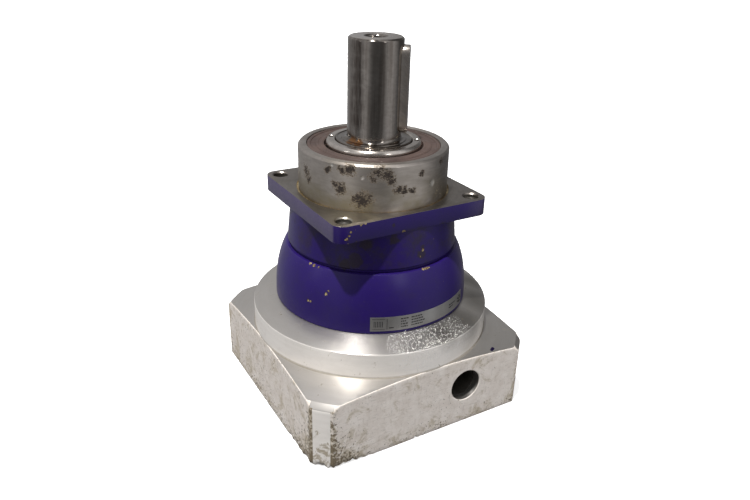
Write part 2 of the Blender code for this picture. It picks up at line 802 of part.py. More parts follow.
def build_seals():
    """Rubber shaft seals, each with a lip that stands just clear of the piece it seals."""
    face = SEAL_TOP
    output = [
        (SEAL_R, face),
        (SEAL_R, SEAL_BOTTOM),
        (SEAL_SHELL_R, SEAL_BOTTOM),
        (SEAL_SHELL_R, SEAL_WEB_Z),
        (SEAL_LIP_R + 0.0002, SEAL_WEB_Z + 0.0002),
        (SEAL_LIP_R + 0.0008, face - 0.0008),
        (SEAL_LIP_R + 0.0016, face),
    ]
    finish_rubber(turned("output_seal", output, OUTER_SIDES, PARTS))
    lip = INPUT_R + 0.0004
    shell = INPUT_SEAL_SEAT_R - GAP
    low = HUB_ROOM_TOP + GAP
    high = INPUT_SEAL_SEAT_TOP - GAP
    inlet = [
        (shell, high),
        (shell, low),
        (lip + 0.0012, low),
        (lip + 0.0018, low + 0.0022),
        (lip, low + 0.0036),
        (lip + 0.0022, high - 0.0012),
        (shell - 0.0025, low + 0.0016),
        (shell - 0.0025, high),
    ]
    finish(turned("input_seal", inlet, INNER_SIDES, PARTS), (0.02, 0.02, 0.02), 0.0, 0.6)


# ---------------------------------------------------------------- output pieces


def build_output_shaft():
    """Output shaft in one piece with the planet carrier."""
    hole_floor = SHAFT_TOP - CENTRE_HOLE_DEPTH
    profile = [
        (0.0, hole_floor - 0.003),
        (CENTRE_HOLE_R, hole_floor),
        (CENTRE_HOLE_R, SHAFT_TOP - 0.0035),
        (COUNTERSINK_R - 0.0006, SHAFT_TOP - 0.0008),
        (COUNTERSINK_R, SHAFT_TOP),
        (SHAFT_R - SHAFT_CHAMFER, SHAFT_TOP),
        (SHAFT_R, SHAFT_TOP - SHAFT_CHAMFER),
        (SHAFT_R, SHOULDER_Z),
        (FRONT_BORE_R - GAP, SHOULDER_Z),
        (FRONT_BORE_R - GAP, REAR_BEARING_Z + BEARING_WIDTH),
        (REAR_BORE_R - GAP, REAR_BEARING_Z + BEARING_WIDTH),
        (REAR_BORE_R - GAP, REAR_BEARING_Z - GAP),
        (CARRIER_NECK_R, REAR_BEARING_Z - GAP),
        (CARRIER_NECK_R, CARRIER_TOP),
        (CARRIER_R, CARRIER_TOP),
        (CARRIER_R, CARRIER_BOTTOM),
        (CARRIER_EYE_R, CARRIER_BOTTOM),
        (CARRIER_EYE_R, POCKET_TOP - GAP),
        (0.0, POCKET_TOP - GAP),
    ]
    shaft = turned("output_shaft", profile, OUTER_SIDES, PARTS, ring=False)
    for i in range(3):
        at = spun(CENTRE_DISTANCE, math.tau * i / 3)
        cut(shaft, rod(f"planet_pocket_{i + 1}", POCKET_R, POCKET_BOTTOM, POCKET_TOP, 28, at))
        below = CARRIER_BOTTOM - 0.0108
        cut(shaft, rod(f"pin_bore_{i + 1}", PIN_R + GAP, below, PIN_TOP + GAP, 16, at))
    cut(shaft, key_shape("keyway", GAP, KEY_LOW_R - GAP, KEY_TOP_R + 0.004, None))
    finish_steel(shaft)


def key_shape(name, extra, low, high, collection):
    """A round-ended key standing on the shaft, its length along the shaft axis."""
    half = KEY_WIDTH / 2 + extra
    middle = (KEY_BOTTOM + KEY_TOP) / 2
    reach = (KEY_TOP - KEY_BOTTOM - KEY_WIDTH) / 2
    outline = []
    for end in (1.0, -1.0):
        for step in range(9):
            angle = math.pi * step / 8
            outline.append((end * (reach + half * math.sin(angle)), end * half * math.cos(angle)))
    key = extruded(name, [outline], low, high, collection)
    stand = Matrix.Rotation(math.pi / 2, 4, "Y")
    lift = Matrix.Translation((0.0, 0.0, middle))
    return turn_mesh(key, Matrix.Rotation(KEY_TURN, 4, "Z") @ lift @ stand)


def build_output_fittings():
    """Key, bearing nut with its spanner holes, and the spacer between the taper bearings."""
    finish_steel(key_shape("output_key", 0.0, KEY_LOW_R, KEY_TOP_R, PARTS))
    nut_edge = 0.0011
    nut = turned(
        "bearing_nut",
        [
            (NUT_R - nut_edge, NUT_TOP),
            (NUT_R, NUT_TOP - nut_edge),
            (NUT_R, NUT_BOTTOM),
            (FRONT_BORE_R, NUT_BOTTOM),
            (FRONT_BORE_R, NUT_TOP - 0.0006),
            (FRONT_BORE_R + 0.0006, NUT_TOP),
        ],
        OUTER_SIDES,
        PARTS,
    )
    for i in range(4):
        at = spun(SPANNER_CIRCLE_R, SPANNER_TURN + math.pi / 2 * i)
        floor = NUT_TOP - SPANNER_HOLE_DEPTH
        above = NUT_TOP + 0.0046
        cut(nut, rod(f"spanner_hole_{i + 1}", SPANNER_HOLE_R, floor, above, SMALL_SIDES, at))
    finish_steel(nut)
    low = REAR_BEARING_Z + BEARING_WIDTH + GAP
    high = FRONT_BEARING_Z - GAP
    spacer = [(SPACER_R, high), (SPACER_R, low), (FRONT_BORE_R, low), (FRONT_BORE_R, high)]
    finish_steel(turned("bearing_spacer", spacer, INNER_SIDES, PARTS))


def gear_piece(name, outlines, low, high, at):
    """A piece whose origin is on its own upright axis at this place."""
    piece = extruded(name, outlines, low, high, PARTS)
    piece.location = (*at, 0.0)
    finish_steel(piece)
    return piece


def build_planets():
    """Three planet gears, each on a pin with a needle set and a thrust washer at either end."""
    washer = [circle(WASHER_R, 16), circle(PIN_R + GAP, 16)]
    bumps = []
    dips = []
    for i in range(NEEDLES):
        for step in (0.0, 0.5):
            bump = NEEDLE_R if step == 0.0 else NEEDLE_R * 0.35
            angle = math.tau * (i + step) / NEEDLES
            bumps.append(spun(NEEDLE_PITCH_R + bump, angle))
            dips.append(spun(NEEDLE_PITCH_R - bump, angle))
    for i in range(3):
        at = spun(CENTRE_DISTANCE, math.tau * i / 3)
        teeth = external_teeth(PLANET_TEETH, math.pi / PLANET_TEETH)
        bore = circle(PLANET_BORE_R, 20)
        gear_piece(f"planet_gear_{i + 1}", [teeth, bore], GEAR_BOTTOM, GEAR_TOP, at)
        gear_piece(f"needle_set_{i + 1}", [bumps, dips], NEEDLE_BOTTOM, NEEDLE_TOP, at)
        under = GEAR_BOTTOM - GAP
        over = GEAR_TOP + GAP
        gear_piece(f"thrust_washer_{2 * i + 1}", washer, under - WASHER_THICKNESS, under, at)
        gear_piece(f"thrust_washer_{2 * i + 2}", washer, over, over + WASHER_THICKNESS, at)
        edge = 0.0005
        pin = turned(
            f"planet_pin_{i + 1}",
            [
                (0.0, PIN_TOP),
                (PIN_R - edge, PIN_TOP),
                (PIN_R, PIN_TOP - edge),
                (PIN_R, PIN_BOTTOM),
                (0.0, PIN_BOTTOM),
            ],
            16,
            PARTS,
            ring=False,
        )
        pin.location = (*at, 0.0)
        finish_steel(pin)


def build_ring_gear():
    outlines = [circle(RING_SEAT_R - GAP, OUTER_SIDES), internal_teeth(RING_TEETH)]
    ring = extruded("ring_gear", outlines, RING_SHOULDER_Z + GAP, GEAR_TOP, PARTS)
    finish_steel(ring)


# ---------------------------------------------------------------- input pieces


def build_input_shaft():
    """Hollow input shaft: slotted clamping sleeve below, seat for the sun gear above."""
    slot_r = INPUT_R - SHAFT_CIRCLIP_SLOT_DEPTH
    profile = [
        (SUN_SOCKET_R, INPUT_NOSE_TOP),
        (INPUT_NOSE_R, INPUT_NOSE_TOP),
        (INPUT_NOSE_R, INPUT_NOSE_FOOT),
        (INPUT_R, INPUT_NOSE_FOOT),
        (INPUT_R, CIRCLIP_BOTTOM + CIRCLIP_THICKNESS + GAP),
        (slot_r, CIRCLIP_BOTTOM + CIRCLIP_THICKNESS + GAP),
        (slot_r, CIRCLIP_BOTTOM - GAP),
        (INPUT_R, CIRCLIP_BOTTOM - GAP),
        (INPUT_R, INPUT_BEARING_Z - GAP),
        (INPUT_COLLAR_R, INPUT_BEARING_Z - GAP),
        (INPUT_COLLAR_R, INPUT_COLLAR_BOTTOM),
        (INPUT_R, INPUT_COLLAR_BOTTOM),
        (INPUT_R, 0.0385),
        (HUB_SLEEVE_R, 0.0382),
        (HUB_SLEEVE_R, HUB_BOTTOM),
        (INPUT_BORE_R + 0.0006, HUB_BOTTOM),
        (INPUT_BORE_R, HUB_BOTTOM + 0.0006),
        (INPUT_BORE_R, INPUT_BORE_TOP),
        (VENT_R, INPUT_BORE_TOP),
        (VENT_R, SUN_SOCKET_FLOOR),
        (SUN_SOCKET_R, SUN_SOCKET_FLOOR),
    ]
    shaft = turned("input_shaft", profile, INNER_SIDES, PARTS)
    half = HUB_SLOT_HALF_WIDTH
    reach = INPUT_R + OVERRUN
    cut(shaft, box("slot_along_x", (-reach, -half, 0.0), (reach, half, HUB_SLOT_TOP)))
    cut(shaft, box("slot_along_y", (-half, -reach, 0.0), (half, reach, HUB_SLOT_TOP)))
    finish_steel(shaft)
    outline = external_teeth(SUN_TEETH, 0.0)
    teeth = extruded("sun_gear", [outline], SUN_GEAR_BOTTOM, GEAR_TOP, PARTS)
    join(teeth, rod("sun_shank", SUN_SHANK_R, SUN_SHANK_BOTTOM, SUN_GEAR_BOTTOM + 0.0018, 16))
    finish_steel(teeth)


def build_clamp():
    """Slit clamp ring round the input sleeve, with the cap screw that closes it."""
    low = ACCESS_Z - CLAMP_WIDTH / 2
    high = ACCESS_Z + CLAMP_WIDTH / 2
    edge = 0.0008
    ring = turned(
        "clamp_ring",
        [
            (CLAMP_R - edge, high),
            (CLAMP_R, high - edge),
            (CLAMP_R, low + edge),
            (CLAMP_R - edge, low),
            (CLAMP_BORE_R, low),
            (CLAMP_BORE_R, high),
        ],
        OUTER_SIDES,
        PARTS,
    )
    slit = box(
        "clamp_slit",
        (0.010, -CLAMP_SLIT / 2, low - 0.005),
        (0.040, CLAMP_SLIT / 2, high + 0.005),
    )
    along_y = Matrix.Translation((ACCESS_X, 0.0, ACCESS_Z)) @ Matrix.Rotation(-math.pi / 2, 4, "X")
    hole = turn_mesh(rod("clamp_screw_hole", M8[0] + GAP, -0.020, 0.040, 12), along_y)
    seat = turn_mesh(rod("clamp_counterbore", M8[1] + GAP, -0.040, CLAMP_HEAD_Y, 12), along_y)
    cut(ring, slit, hole, seat)
    finish_steel(ring)
    screw, socket = cap_screw("clamp_screw", M8, CLAMP_SCREW_LENGTH)
    back = Matrix.Translation((0.0, CLAMP_HEAD_Y - GAP, 0.0)) @ along_y
    turn_mesh(screw, back)
    turn_mesh(socket, back)
    cut(screw, socket)


build_output_housing()
build_gear_housing()
build_adapter_plate()
build_nameplate()
build_ring_gear()
build_seals()
taper_bearing("front_bearing", FRONT_BORE_R, FRONT_BEARING_Z, True)
taper_bearing("rear_bearing", REAR_BORE_R, REAR_BEARING_Z, False)
input_bearing()
o_ring("output_o_ring", *OUTPUT_O_RING)
o_ring("adapter_o_ring", *ADAPTER_O_RING)
circlip("bore_circlip", *BORE_CIRCLIP, math.radians(90.0))
circlip("shaft_circlip", *SHAFT_CIRCLIP, math.radians(0.0))
build_output_shaft()
build_output_fittings()
build_planets()
build_input_shaft()
build_clamp()
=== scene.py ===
import json
import math
import random

import bmesh
import bpy
from mathutils import Matrix, Vector, noise


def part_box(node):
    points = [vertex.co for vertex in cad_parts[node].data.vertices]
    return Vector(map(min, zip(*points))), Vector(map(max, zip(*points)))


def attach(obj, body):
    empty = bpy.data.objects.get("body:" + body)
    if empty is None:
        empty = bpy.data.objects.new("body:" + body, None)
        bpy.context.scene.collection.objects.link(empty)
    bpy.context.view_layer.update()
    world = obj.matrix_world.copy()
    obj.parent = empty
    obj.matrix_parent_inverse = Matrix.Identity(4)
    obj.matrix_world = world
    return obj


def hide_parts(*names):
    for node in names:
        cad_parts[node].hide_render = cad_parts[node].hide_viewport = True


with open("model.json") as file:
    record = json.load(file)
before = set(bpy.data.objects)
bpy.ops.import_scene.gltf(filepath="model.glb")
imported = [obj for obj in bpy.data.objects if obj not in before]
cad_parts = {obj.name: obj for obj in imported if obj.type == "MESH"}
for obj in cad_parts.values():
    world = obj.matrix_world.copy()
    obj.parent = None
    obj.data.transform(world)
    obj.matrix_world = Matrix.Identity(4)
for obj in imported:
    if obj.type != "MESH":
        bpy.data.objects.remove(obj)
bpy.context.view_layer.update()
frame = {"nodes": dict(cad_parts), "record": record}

# The looks of the inline gear reducer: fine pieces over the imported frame, procedural materials, studio.

NODES = frame["nodes"]


def top_of(node):
    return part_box(node)[1].z


def bottom_of(node):
    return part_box(node)[0].z


def radius_of(node):
    """The outside radius of a piece that is turned about the main axis."""
    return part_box(node)[1].x


def azimuth(degrees):
    """A level direction, counted from -Y towards +X."""
    angle = math.radians(degrees)
    return Vector((math.sin(angle), -math.cos(angle), 0.0))


# Heights and radii that the fine pieces take from the frame.
SHAFT_TOP = top_of("output_shaft")
PILOT_TOP = top_of("output_housing")
BELL_TOP = top_of("gear_housing")
BELL_FOOT = bottom_of("gear_housing")
BELL_R = radius_of("gear_housing")
NUT_TOP = top_of("bearing_nut")
NUT_BOTTOM = bottom_of("bearing_nut")
NUT_R = radius_of("bearing_nut")
SEAL_TOP = top_of("output_seal")
SEAL_BOTTOM = bottom_of("output_seal")
SEAL_R = radius_of("output_seal")
PLATE_HALF = radius_of("adapter_plate")
MOUNTS = {mount["name"]: mount for mount in frame["record"]["mounts"]}
FLANGE_TOP = MOUNTS["output_flange_face"]["pos_m"][2]
SHOULDER_Z = MOUNTS["shaft_shoulder_face"]["pos_m"][2]
RECESS_Z = MOUNTS["motor_pilot_floor"]["pos_m"][2]

# Sizes that no box gives, as in the CAD source.
SHAFT_R = 0.016
PILOT_R = 0.045
FLANGE_HALF = 0.0505
FLANGE_CORNER_R = 0.007
FLANGE_THICK = 0.010
FLANGE_BOTTOM = FLANGE_TOP - FLANGE_THICK
FLANGE_HOLE_R = 0.0045
FLANGE_HOLE_CIRCLE_R = 0.060
RELIEF_R = 0.0462
NECK_TOP_R = 0.0502
NECK_FOOT_R = 0.0524
NECK_FOOT_Z = 0.1033
BELL_TOP_R = 0.0535
PLATE_CORNER_R = 0.0995
PLATE_TOP = 0.0464
PLATE_SLOPE = 0.17
CORNER_CHAMFER = 0.003
CORNER_TOP = 0.0395
DISC_R = 0.0749
DISC_RIM_TOP = 0.0622
LAND_R = 0.0607
LAND_Z = 0.0668
ACCESS_X = 0.0253
ACCESS_Z = 0.0267
ACCESS_R = 0.0103

MOTOR_SCREW_CIRCLE_R = 0.0825
PLATE_SCREW_CIRCLE_R = 0.0535
SHAFT_THREAD_R = 0.0051
CARRIER_PIN_CIRCLE_R = 0.027
SPANNER_HOLE_CIRCLE_R = 0.0255
KEY_DEGREES = -38.0

# Steps inside the housing, shared by neighbouring pieces.
SPIGOT_R = 0.0459
NECK_STEP_R = 0.0514
O_RING_GROOVE_R = 0.0440
REAR_BEARING_R = 0.0403
BEARING_RIB_R = 0.0355
FRONT_BEARING_R = 0.0378
RING_GEAR_R = 0.0430
INPUT_BEARING_R = 0.0343

ROUND = 256  # columns of a turned piece


# ---- mesh helpers


def eased(points, closed=True):
    """A profile whose corners (r, z, size) are rounded off by a short curve of that size."""
    result = []
    count = len(points)
    for i, point in enumerate(points):
        here = Vector(point[:2])
        size = point[2] if len(point) > 2 else 0.0
        inner = closed or 0 < i < count - 1
        if size == 0.0 or not inner:
            result.append(tuple(here))
            continue
        before = Vector(points[i - 1][:2])
        after = Vector(points[(i + 1) % count][:2])
        start = here + (before - here).normalized() * min(size, (before - here).length / 2)
        end = here + (after - here).normalized() * min(size, (after - here).length / 2)
        for step in range(5):
            t = step / 4
            result.append(tuple(start * (1 - t) ** 2 + here * 2 * t * (1 - t) + end * t * t))
    return result


def object_from(name, work, mesh):
    """Writes the bmesh to the mesh and puts a new object with it in the scene."""
    work.to_mesh(mesh)
    work.free()
    obj = bpy.data.objects.new(name, mesh)
    bpy.context.scene.collection.objects.link(obj)
    return obj


def lathe(name, profile_at, angles, closed=True):
    """A closed surface round the main axis. profile_at(angle) gives equally many (r, z) points."""
    work = bmesh.new()
    columns = []
    for angle in angles:
        across, along = math.cos(angle), math.sin(angle)
        columns.append([work.verts.new((r * across, r * along, z)) for r, z in profile_at(angle)])
    rows = len(columns[0])
    for i, column in enumerate(columns):
        following = columns[(i + 1) % len(columns)]
        for j in range(rows if closed else rows - 1):
            k = (j + 1) % rows
            work.faces.new((column[j], following[j], following[k], column[k]))
    bmesh.ops.remove_doubles(work, verts=work.verts, dist=1e-6)
    bmesh.ops.dissolve_degenerate(work, edges=work.edges, dist=1e-7)
    bmesh.ops.recalc_face_normals(work, faces=work.faces)
    return object_from(name, work, bpy.data.meshes.new(name))


def even_angles(count=ROUND):
    return [math.tau * i / count for i in range(count)]


def turned(name, points, closed=True, count=ROUND):
    profile = eased(points, closed)
    return lathe(name, lambda angle: profile, even_angles(count), closed)


def drill(name, radius, low, high, at, chamfer=0.0, mouth_up=True, count=48):
    """An upright hole cutter, with a chamfer at its mouth."""
    points = [(0.0, high), (radius, high), (radius, low), (0.0, low)]
    if chamfer:
        over = 0.0004
        wide = (radius + chamfer + over, radius)
        if mouth_up:
            mouth = high - over
            points = [(0.0, high), (wide[0], high), (radius, mouth - chamfer), (radius, low), (0.0, low)]
        else:
            mouth = low + over
            points = [(0.0, high), (radius, high), (radius, mouth + chamfer), (wide[0], low), (0.0, low)]
    cutter = lathe(name, lambda angle: points, [a + 0.013 for a in even_angles(count)], closed=False)
    cutter.data.transform(Matrix.Translation((at[0], at[1], 0.0)))
    return cutter


def combined(obj, others, operation="DIFFERENCE"):
    """Applies one exact Boolean for each of the others, which are then removed."""
    for other in others:
        step = obj.modifiers.new("Boolean", "BOOLEAN")
        step.operation = operation
        step.solver = "EXACT"
        step.object = other
        settle(obj)
        bpy.data.objects.remove(other, do_unlink=True)
    return obj


def evaluated_mesh(obj):
    bpy.context.view_layer.update()
    graph = bpy.context.evaluated_depsgraph_get()
    return bpy.data.meshes.new_from_object(obj.evaluated_get(graph))


def settle(obj):
    """Applies the modifiers."""
    mesh = evaluated_mesh(obj)
    obj.modifiers.clear()
    obj.data = mesh


def smooth(obj, degrees=28.0):
    obj.data.shade_smooth()
    obj.data.set_sharp_from_angle(angle=math.radians(degrees))


def extruded(name, outlines, low, high):
    curve = bpy.data.curves.new(name, "CURVE")
    curve.dimensions = "2D"
    curve.fill_mode = "BOTH"
    curve.extrude = (high - low) / 2
    for outline in outlines:
        spline = curve.splines.new("POLY")
        spline.points.add(len(outline) - 1)
        for point, (x, y) in zip(spline.points, outline):
            point.co = (x, y, 0.0, 1.0)
        spline.use_cyclic_u = True
    source = bpy.data.objects.new(name + "_outline", curve)
    source.location.z = (low + high) / 2
    bpy.context.scene.collection.objects.link(source)
    mesh = evaluated_mesh(source)
    mesh.transform(source.matrix_world)
    bpy.data.objects.remove(source, do_unlink=True)
    work = bmesh.new()
    work.from_mesh(mesh)
    bmesh.ops.remove_doubles(work, verts=work.verts, dist=1e-7)
    bmesh.ops.recalc_face_normals(work, faces=work.faces)
    return object_from(name, work, mesh)


def circle(radius, count):
    return [(radius * math.cos(a), radius * math.sin(a)) for a in even_angles(count)]


def bevelled(obj, width, segments=2, degrees=30.0):
    bevel = obj.modifiers.new("Edges", "BEVEL")
    bevel.width = width
    bevel.segments = segments
    bevel.limit_method = "ANGLE"
    bevel.angle_limit = math.radians(degrees)
    settle(obj)
    return obj


def dress(obj, body, slot, nodes, *materials):
    """Materials, the body that the piece rides on, its slot, which is not used, and the CAD nodes that it
    stands for.
    """
    obj.data.materials.clear()
    for material in materials:
        obj.data.materials.append(material)
    smooth(obj)
    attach(obj, body)
    if nodes:
        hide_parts(*nodes)
    return obj


# ---- material helpers


class Nodes:
    """A material's node tree, with short calls for the nodes that repeat."""

    def __init__(self, name):
        self.material = bpy.data.materials.new(name)
        self.material.use_nodes = True
        self.tree = self.material.node_tree
        self.shader = self.tree.nodes["Principled BSDF"]
        self.place = self.add("ShaderNodeTexCoord").outputs["Object"]

    def add(self, kind, **settings):
        node = self.tree.nodes.new(kind)
        for key, value in settings.items():
            setattr(node, key, value)
        return node

    def plug(self, value, socket):
        if isinstance(value, bpy.types.NodeSocket):
            self.tree.links.new(value, socket)
        else:
            socket.default_value = value

    def math(self, operation, *values):
        node = self.add("ShaderNodeMath", operation=operation)
        for value, socket in zip(values, node.inputs):
            self.plug(value, socket)
        return node.outputs[0]

    def times(self, *values):
        return self.math("MULTIPLY", *values)

    def plus(self, *values):
        return self.math("ADD", *values)

    def scaled(self, factors):
        """The place, stretched by a factor along each axis."""
        node = self.add("ShaderNodeVectorMath", operation="MULTIPLY")
        self.plug(self.place, node.inputs[0])
        node.inputs[1].default_value = factors
        return node.outputs[0]

    def xyz(self):
        node = self.add("ShaderNodeSeparateXYZ")
        self.plug(self.place, node.inputs[0])
        return node.outputs

    def radius(self):
        x, y, _ = self.xyz()
        return self.math("SQRT", self.plus(self.times(x, x), self.times(y, y)))

    def round_lines(self, around, across):
        """A place for streaks that run round the main axis: slow round it, fast across it."""
        x, y, z = self.xyz()
        reach = self.radius()
        node = self.add("ShaderNodeCombineXYZ")
        self.plug(self.times(self.math("DIVIDE", x, reach), around), node.inputs[0])
        self.plug(self.times(self.math("DIVIDE", y, reach), around), node.inputs[1])
        self.plug(self.times(self.plus(z, reach), across), node.inputs[2])
        return node.outputs[0]

    def noise(self, scale, detail=3.0, rough=0.55, vector=None, distortion=0.0):
        return self.noise_node(scale, detail, rough, vector or self.place, distortion).outputs["Fac"]

    def noise_node(self, scale, detail, rough, vector, distortion=0.0):
        node = self.add("ShaderNodeTexNoise")
        self.plug(vector, node.inputs["Vector"])
        settings = {"Scale": scale, "Detail": detail, "Roughness": rough, "Distortion": distortion}
        for name, value in settings.items():
            node.inputs[name].default_value = value
        return node

    def band(self, value, low, high):
        """0 below low, 1 above high, smooth between; low may be the larger."""
        node = self.add("ShaderNodeMapRange", interpolation_type="SMOOTHSTEP")
        self.plug(value, node.inputs["Value"])
        node.inputs["From Min"].default_value = low
        node.inputs["From Max"].default_value = high
        return node.outputs["Result"]

    def span(self, value, low, high):
        """Takes 0..1 to low..high."""
        node = self.add("ShaderNodeMapRange")
        self.plug(value, node.inputs["Value"])
        node.inputs["To Min"].default_value = low
        node.inputs["To Max"].default_value = high
        return node.outputs["Result"]

    def colours(self, value, *stops):
        node = self.add("ShaderNodeValToRGB")
        self.plug(value, node.inputs["Fac"])
        ramp = node.color_ramp
        while len(ramp.elements) < len(stops):
            ramp.elements.new(0.5)
        for element, (position, colour) in zip(ramp.elements, stops):
            element.position = position
            element.color = (*colour, 1.0)
        return node.outputs["Color"]

    def mix(self, share, first, second):
        node = self.add("ShaderNodeMix", data_type="RGBA")
        self.plug(share, node.inputs["Factor"])
        sockets = [s for s in node.inputs if s.type == "RGBA"]
        for value, socket in zip((first, second), sockets):
            self.plug((*value, 1.0) if isinstance(value, tuple) else value, socket)
        return [s for s in node.outputs if s.type == "RGBA"][0]

    def ragged_place(self, amount):
        """The place, pushed about by a fine noise, so that a round mark gets a torn outline."""
        torn = self.noise_node(260.0, 5.0, 0.65, self.place)
        push = self.add("ShaderNodeVectorMath", operation="MULTIPLY_ADD")
        self.plug(torn.outputs["Color"], push.inputs[0])
        push.inputs[1].default_value = (amount,) * 3
        push.inputs[2].default_value = (-amount / 2,) * 3
        moved = self.add("ShaderNodeVectorMath", operation="ADD")
        self.plug(self.place, moved.inputs[0])
        self.plug(push.outputs[0], moved.inputs[1])
        return moved.outputs[0]

    def spots(self, places, outer=1.0, inner=0.25, ragged=0.0):
        """1 in the middle of each place (azimuth, radius, height, size), falling to 0 round it."""
        result = None
        here = self.ragged_place(ragged) if ragged else self.place
        for degrees, radius, height, size in places:
            node = self.add("ShaderNodeVectorMath", operation="DISTANCE")
            self.plug(here, node.inputs[0])
            node.inputs[1].default_value = azimuth(degrees) * radius + Vector((0.0, 0.0, height))
            spot = self.band(node.outputs["Value"], size * outer, size * inner)
            result = spot if result is None else self.most(result, spot)
        return result

    def near(self, value, target, reach):
        """1 where value is at the target, falling to 0 at this reach on either side."""
        away = self.math("ABSOLUTE", self.math("SUBTRACT", value, target))
        return self.band(away, reach, 0.0)

    def most(self, *values):
        result = values[0]
        for value in values[1:]:
            result = self.math("MAXIMUM", result, value)
        return result

    def bump(self, height, strength, distance, normal=None):
        node = self.add("ShaderNodeBump")
        node.inputs["Strength"].default_value = strength
        node.inputs["Distance"].default_value = distance
        self.plug(height, node.inputs["Height"])
        if normal is not None:
            self.plug(normal, node.inputs["Normal"])
        return node.outputs["Normal"]

    def finish(self, colour, roughness, metallic=None, normal=None, **constants):
        self.plug(colour, self.shader.inputs["Base Color"])
        self.plug(roughness, self.shader.inputs["Roughness"])
        if metallic is not None:
            self.plug(metallic, self.shader.inputs["Metallic"])
        if normal is not None:
            self.plug(normal, self.shader.inputs["Normal"])
        for name, value in constants.items():
            self.shader.inputs[name.replace("_", " ")].default_value = value
        return self.material

    def brushed_round(self, amount):
        """Highlights drawn out along the main axis, as on a ground or turned surface."""
        tangent = self.add("ShaderNodeTangent", direction_type="RADIAL", axis="Z")
        self.plug(tangent.outputs[0], self.shader.inputs["Tangent"])
        self.shader.inputs["Anisotropic"].default_value = amount
        self.shader.inputs["Anisotropic Rotation"].default_value = 0.25


# ---- materials


# Marks, each as azimuth, radius, height and size.
PAINT_CHIPS = [
    (-67.5, 0.0598, 0.0812, 0.0011), (-65.5, 0.0598, 0.0808, 0.0008), (-56.0, 0.0585, 0.0886, 0.0010),
    (-54.5, 0.0580, 0.0905, 0.0007), (3.8, 0.0537, 0.1014, 0.0010), (5.6, 0.0537, 0.1014, 0.0011),
    (7.4, 0.0537, 0.1013, 0.0010), (9.0, 0.0537, 0.1014, 0.0007), (-71.0, 0.0537, 0.1014, 0.0010),
    (-68.0, 0.0537, 0.1013, 0.0012), (-64.0, 0.0537, 0.1014, 0.0008), (-41.6, 0.0670, 0.1285, 0.0014),
    (-40.6, 0.0664, 0.1305, 0.0009), (-39.8, 0.0660, 0.1325, 0.0008), (-35.5, 0.0614, 0.1356, 0.0010),
    (-33.5, 0.0606, 0.1358, 0.0009), (-37.0, 0.0645, 0.1262, 0.0010), (-10.0, 0.0513, 0.1262, 0.0012),
    (4.4, 0.0520, 0.1130, 0.0012), (2.6, 0.0522, 0.1095, 0.0009),
]
PAINT_STAINS = [
    (3.2, 0.052, 0.1105, 0.0046), (4.2, 0.052, 0.1150, 0.0030), (-40.0, 0.052, 0.1090, 0.0075),
    (-47.0, 0.052, 0.1060, 0.0060), (-16.0, 0.052, 0.1215, 0.0050), (-34.0, 0.052, 0.1190, 0.0060),
    (-17.0, 0.0530, 0.1310, 0.0020),
]
# Painted sheen with dust: pale patches at the bell's silhouettes that stand in for grazing reflection.
SHEEN_AND_DUST_SIDES = [
    (56.0, 0.0600, 0.0870, 0.032), (52.0, 0.0520, 0.1150, 0.026), (50.0, 0.0640, 0.1310, 0.022),
    (-124.0, 0.0600, 0.0880, 0.026), (-124.0, 0.0520, 0.1150, 0.020),
]
RUST_BLOTCHES = [
    (-38.0, PILOT_R, 0.1430, 0.0068), (-33.0, PILOT_R, 0.1442, 0.0040),
    (-43.5, PILOT_R, 0.1445, 0.0030), (-26.0, PILOT_R, 0.1590, 0.0052),
    (-20.5, PILOT_R, 0.1572, 0.0056), (-30.0, PILOT_R, 0.1560, 0.0040),
    (-17.0, PILOT_R, 0.1540, 0.0040), (-47.0, PILOT_R, 0.1598, 0.0044),
    (-52.0, PILOT_R, 0.1590, 0.0034), (-53.0, PILOT_R, 0.1485, 0.0046),
    (-58.0, PILOT_R, 0.1500, 0.0030), (-12.0, PILOT_R, 0.1490, 0.0036),
    (-7.0, PILOT_R, 0.1480, 0.0034), (-1.0, PILOT_R, 0.1475, 0.0028), (-64.0, PILOT_R, 0.1575, 0.0032),
    (-88.0, PILOT_R, 0.1520, 0.0050), (-84.0, PILOT_R, 0.1480, 0.0032), (6.0, PILOT_R, 0.1560, 0.0028),
    (28.0, PILOT_R, 0.1600, 0.0030), (120.0, PILOT_R, 0.1500, 0.0080),
    (170.0, PILOT_R, 0.1550, 0.0070),
]
# Painted light: a paler, warmer patch on the flange top towards its front corner, standing in for light
# falling there.
PAINTED_LIGHT_CORNER = [(-45.0, 0.0600, FLANGE_TOP, 0.020), (-30.0, 0.0540, FLANGE_TOP, 0.012)]
# Dents in the pilot, each with a painted glint: a bright colour in its middle.
PILOT_DENTS_AND_GLINTS = [
    (-37.9, PILOT_R, 0.1557, 0.0013),
    (17.5, PILOT_R, 0.1488, 0.0024),
    (-60.0, PILOT_R, 0.1610, 0.0011),
]
SHAFT_STAIN = [
    (-71.0, SHAFT_R, 0.2190, 0.006), (-71.0, SHAFT_R, 0.2110, 0.006), (-70.0, SHAFT_R, 0.2030, 0.006),
    (-70.0, SHAFT_R, 0.1950, 0.006), (-69.0, SHAFT_R, 0.1870, 0.006), (-69.0, SHAFT_R, 0.1790, 0.006),
]
SHAFT_RUST = [
    (-78.0, 0.0175, SHOULDER_Z, 0.0055),
    (-60.0, 0.0175, SHOULDER_Z, 0.0045),
    (140.0, 0.017, SHOULDER_Z, 0.005),
]
PURPLE_DASH = [
    (31.8, 0.0855, 0.0445, 0.0017),
    (32.7, 0.0855, 0.0445, 0.0019),
    (33.6, 0.0855, 0.0445, 0.0017),
]
SCUFFED_RIM = [(-6.0, 0.0700, 0.0635, 0.026), (14.0, 0.0700, 0.0635, 0.022)]
DIRTY_CORNER = [(-45.0, 0.0995, 0.0, 0.040)]
